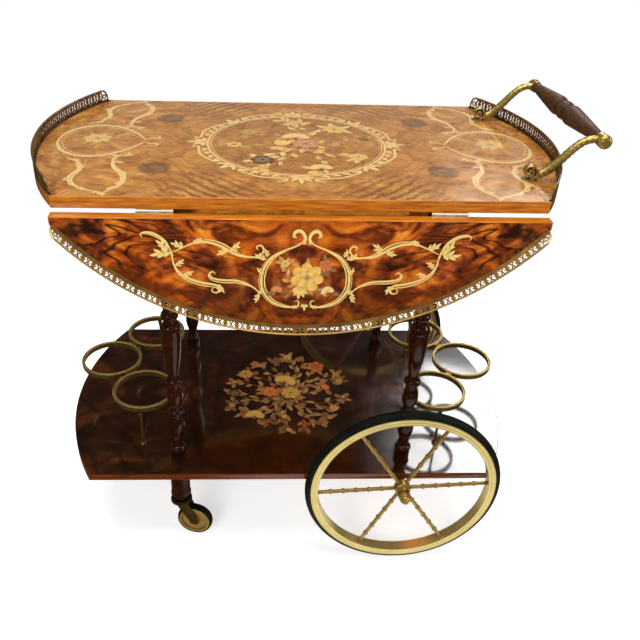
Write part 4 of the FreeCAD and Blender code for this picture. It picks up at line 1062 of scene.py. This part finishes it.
# place, lean and length of the leaf tufts
LEAF_TUFTS = [
    (107, 647, 2.2, 15), (112, 651, -0.5, 13), (172, 655, 0.3, 15), (160, 661, 2.6, 11),
    (192, 647, -0.2, 22), (194, 650, 0.7, 17), (186, 624, 2.4, 12), (176, 609, 2.7, 12),
    (128, 595, -2.2, 13), (68, 580, -1.3, 12), (58, 636, 0.5, 13), (55, 640, 1.3, 10),
    (62, 612, 0.9, 10), (60, 588, -0.8, 10), (20, 557, 3.0, 9),
]
LEAF_FLOWERS = [
    (28, 627, 10, daisy, CORAL), (-42, 585, 8, carnation, CORAL), (33, 583, 10, carnation, CREAM),
    (-30, 630, 6, daisy, STRAW), (2, 607, 24, rose, paint(255, 200, 92)),
]
LEAF_GREENS = [(UMBER, TAN), (UMBER, HONEY), (UMBER, TAN)]
LEAF_SHIFT = 5.5

dark, light = paint(166, 100, 30), paint(255, 226, 136)
work = ThinWork(INLAY_STEP)
for hand in (1, -1):
    work.rise = 0.0
    for points, half, twin in LEAF_SCROLLS:
        scroll(work, mirrored(points, hand), half, dark, light, hand * twin)
    for u, v, lean, length in LEAF_TUFTS:
        heading = atan2(sin(lean), hand * cos(lean))
        tuft(work, (hand * u, v), heading, length * 1.3, hand, dark, light)
palmette(work, (0, 562), -pi / 2, 11, 3, 0.8, dark, light)
bouquet(work, (-4, 590), LEAF_FLOWERS, LEAF_GREENS, leaf=13, seed=3)
for number in range(5):
    leaflet(work, (-6, 592), -2.7 + 0.42 * number, 22 - 3 * abs(number - 2), 3.4, 0.3, UMBER, STRAW)
for row, way in ROWS:
    def on_leaf(u, v, h):
        return (way * (u + LEAF_SHIFT), -way * (LEAF_FACE + h), v)

    work.build(row + "_leaf_marquetry", on_leaf, "inlay_wood", row + "_leaf_wing", "burl_veneer")
print("faces of each leaf's inlay:", len(work.faces))

# %% [markdown]
# ## Inlay of the shelf
# The shelf has only a round bouquet, in stronger colours on a dark ground.

# %% Inlay of the shelf
GOLD, LEMON, ORANGE = paint(255, 200, 84), paint(255, 222, 110), paint(255, 138, 64)
APRICOT, RUSSET = paint(250, 174, 100), paint(186, 106, 54)
BARK, DRY_LEAF = paint(90, 52, 30), paint(204, 142, 74)
SHELF_Z = 196.0
SHELF_FLOWERS = [
    (63, 88, 19, daisy, ORANGE), (-67, -77, 19, carnation, LEMON), (-86, 61, 15, rose, APRICOT),
    (4, 122, 9, daisy, LEMON), (109, 38, 8, daisy, GOLD), (77, 15, 12, tulip, ORANGE),
    (89, -54, 14, tulip, APRICOT), (-9, -79, 9, tulip, APRICOT), (-40, -91, 7, daisy, RUSSET),
    (-2, -118, 8, tulip, APRICOT), (-108, -4, 13, rose, EBONY), (-58, 92, 7, daisy, APRICOT),
    (57, -96, 7, daisy, RUSSET), (-112, -42, 7, daisy, APRICOT), (104, 62, 7, daisy, APRICOT),
    (37, 108, 6, tulip, RUSSET), (-28, 106, 6, daisy, RUSSET), (-108, 32, 6, tulip, APRICOT),
    (-90, -64, 6, daisy, RUSSET), (28, -106, 6, tulip, RUSSET), (80, -80, 6, daisy, APRICOT),
    (112, -18, 6, tulip, APRICOT),
    (-36, 1, 17, rose, ORANGE), (-5, 33, 23, carnation, LEMON), (6, -3, 19, rose, GOLD),
]
SHELF_GREENS = [(BARK, RUSSET), (BARK, DRY_LEAF), (BARK, TAN), (BARK, DRY_LEAF)]
work = ThinWork(INLAY_STEP)
bouquet(work, (-2, -12), SHELF_FLOWERS, SHELF_GREENS, leaf=20, seed=8)
work.build("shelf_marquetry", laid_at(SHELF_Z), "inlay_wood", "chassis", "shelf_veneer")
print("shelf inlay faces:", len(work.faces))

# %% [markdown]
# ## Handle arms
# The arms are cast brass with a chased leaf pattern: a flattened rod that rises from a scroll at
# its foot and ends in an eye round the grip. Rings of points follow the line, with slanting
# ridges as real relief, and the builder above joins them.

# %% Rods and turned shapes
AROUND, SOFT = 20, 40
ARM_WIDE, RIDGE, RIDGE_PITCH = 6.8, 0.45, 8.0


def ridged_rod(line, place):
    """Rings of a flattened rod along (u, v, half thickness) points, with herringbone ridges."""
    rows, travelled = [], 0.0
    for index, (u, v, thick) in enumerate(line):
        run = Vector(run_at(line, index)).normalized()
        if index:
            travelled += hypot(u - line[index - 1][0], v - line[index - 1][1])
        rows.append([])
        for turn in around(AROUND):
            ripple = sin(2 * pi * (travelled + 1.4 * abs(cos(turn)) * ARM_WIDE) / RIDGE_PITCH)
            lift = 1 + RIDGE * min(1.0, thick / 5) * ripple / ARM_WIDE
            out, aside = sin(turn) * thick * lift, cos(turn) * ARM_WIDE * lift
            rows[-1].append(place(u - run.y * out, aside, v + run.x * out))
    return rows


def barrel(profile, place, count=24):
    """Rings of a profile of (radius, height) points, turned round a line that place() knows."""
    return [[place(radius * cos(turn), radius * sin(turn), height) for turn in around(count)]
            for radius, height in profile]


def as_placed(*point):
    return point


print("a rod has %d points round it" % AROUND)

# %% Handle arms
FOOT_X, FOOT_Y, SCROLL_STEPS, EYE = 344.0, 150.0, 48, (98, 63)
# line of the arm from its scroll to the eye, with half the band's thickness at each point
ARM_LINE = [(1.5, 2.6, 2.5), (8, 4.8, 3.6), (16, 8.2, 5.5), (28, 15.5, 6.4), (43, 31.0, 6.2),
            (57, 47.0, 5.7), (70, 58.5, 5.4), (83, 63.2, 5.3), (98, 63.4, 5.2)]
FOOT_DISC = [(10.5, 0.0), (10.5, 1.2), (8.6, 2.2), (0.5, 2.4)]
EYE_BARREL = [(7.2, -6.5), (9.6, -6), (10, -3), (9.2, 0), (10, 3), (9.6, 6), (7.2, 6.5)]
SCROLL_CORE, SCROLL_GROWTH, SCROLL_TURN, SCROLL_END, SCROLL_MIDDLE = 2.8, 8.6, 620, 282, (0, 13)
scroll_line = []
for step in range(SCROLL_STEPS):
    part = step / SCROLL_STEPS
    turned = SCROLL_TURN * (1 - part) + SCROLL_END
    point = polar(SCROLL_CORE + SCROLL_GROWTH * part, turned, SCROLL_MIDDLE)
    scroll_line.append(point + (1.5 + part,))
arm_line = scroll_line + smooth_line(ARM_LINE, 12)
for row, way in ROWS:
    def arm_place(u, w, v):
        return (FOOT_X + u, w - way * FOOT_Y, TOP_Z + v)

    work = ThinWork()
    work.skin(ridged_rod(arm_line, arm_place))
    work.skin(barrel(FOOT_DISC, arm_place))
    work.skin(barrel(EYE_BARREL, lambda a, b, h: arm_place(EYE[0] + a, h, EYE[1] + b)))
    arm = work.build("handle_arm_%s_chased" % row, as_placed, "antique_brass", "chassis",
                     "antique_brass", SOFT)
    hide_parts("handle_arm_" + row)
print("points along each handle arm:", len(arm_line))

# %% [markdown]
# ## Buds on the bottle racks
# Small cast buds sit on both sides of each link between two rings. They are turned shapes laid
# flat: a profile spun about a line that points away from the link.

# %% Rack buds
MIDDLE_RING, SIDE_RING, RING_MID, BUD_OUT = (347.0, 0.0), (272.0, 98.0), 276.5, 9.0
BUD = [(0.6, -3), (2, -1), (1.5, 0.6), (2.9, 2.4), (3.3, 4.2), (2.6, 6.2), (1.2, 7.8), (0.3, 9.2)]
link = (Vector(MIDDLE_RING) + Vector(SIDE_RING)) / 2
lean = (Vector(SIDE_RING) - Vector(MIDDLE_RING)).normalized()
for end, across in ENDS:
    work = ThinWork()
    for along, hand in FOURFOLD:
        def bud_place(a, b, h):
            point = link + Vector((lean.y, -lean.x)) * hand * (BUD_OUT + h) + lean * a
            return (across * point.x, along * point.y, RING_MID + b)

        work.skin(barrel(BUD, bud_place, 12))
    work.build("bottle_rack_buds_" + end, as_placed, "ring_brass", "chassis", "antique_brass", SOFT)
print("rack buds sit %.1f mm from each link" % BUD_OUT)

# %% [markdown]
# ## Beaded edges of the bottle rings
# A cast ring carries a row of beads along each upper edge, worn bright by the bottles. A flat
# strip whose width rises and falls all the way round gives that line with few faces.

# %% Beaded edges
EDGE_RADII, EDGE_Z, BEADS = (53.3, 56.4), 281.0, 110
BEAD_EDGE = [(-1, -0.4), (-1, 0.5), (-0.4, 1.1), (0.4, 1.1), (1, 0.5), (1, -0.4)]
bead_halves = [0.9 + 0.35 * cos(pi * index / 2) for index in range(4 * BEADS + 1)]
for end, across in ENDS:
    work = ThinWork()
    for u, v in (MIDDLE_RING, SIDE_RING, (SIDE_RING[0], -SIDE_RING[1])):
        for radius in EDGE_RADII:
            line = ring_line((across * u, v), radius, 4 * BEADS)
            work.sweep(line, bead_halves, section=BEAD_EDGE)
    work.build("bottle_ring_beads_" + end, laid_at(EDGE_Z), "bead_brass", "chassis",
               "antique_brass")
print("beads along each edge:", BEADS)
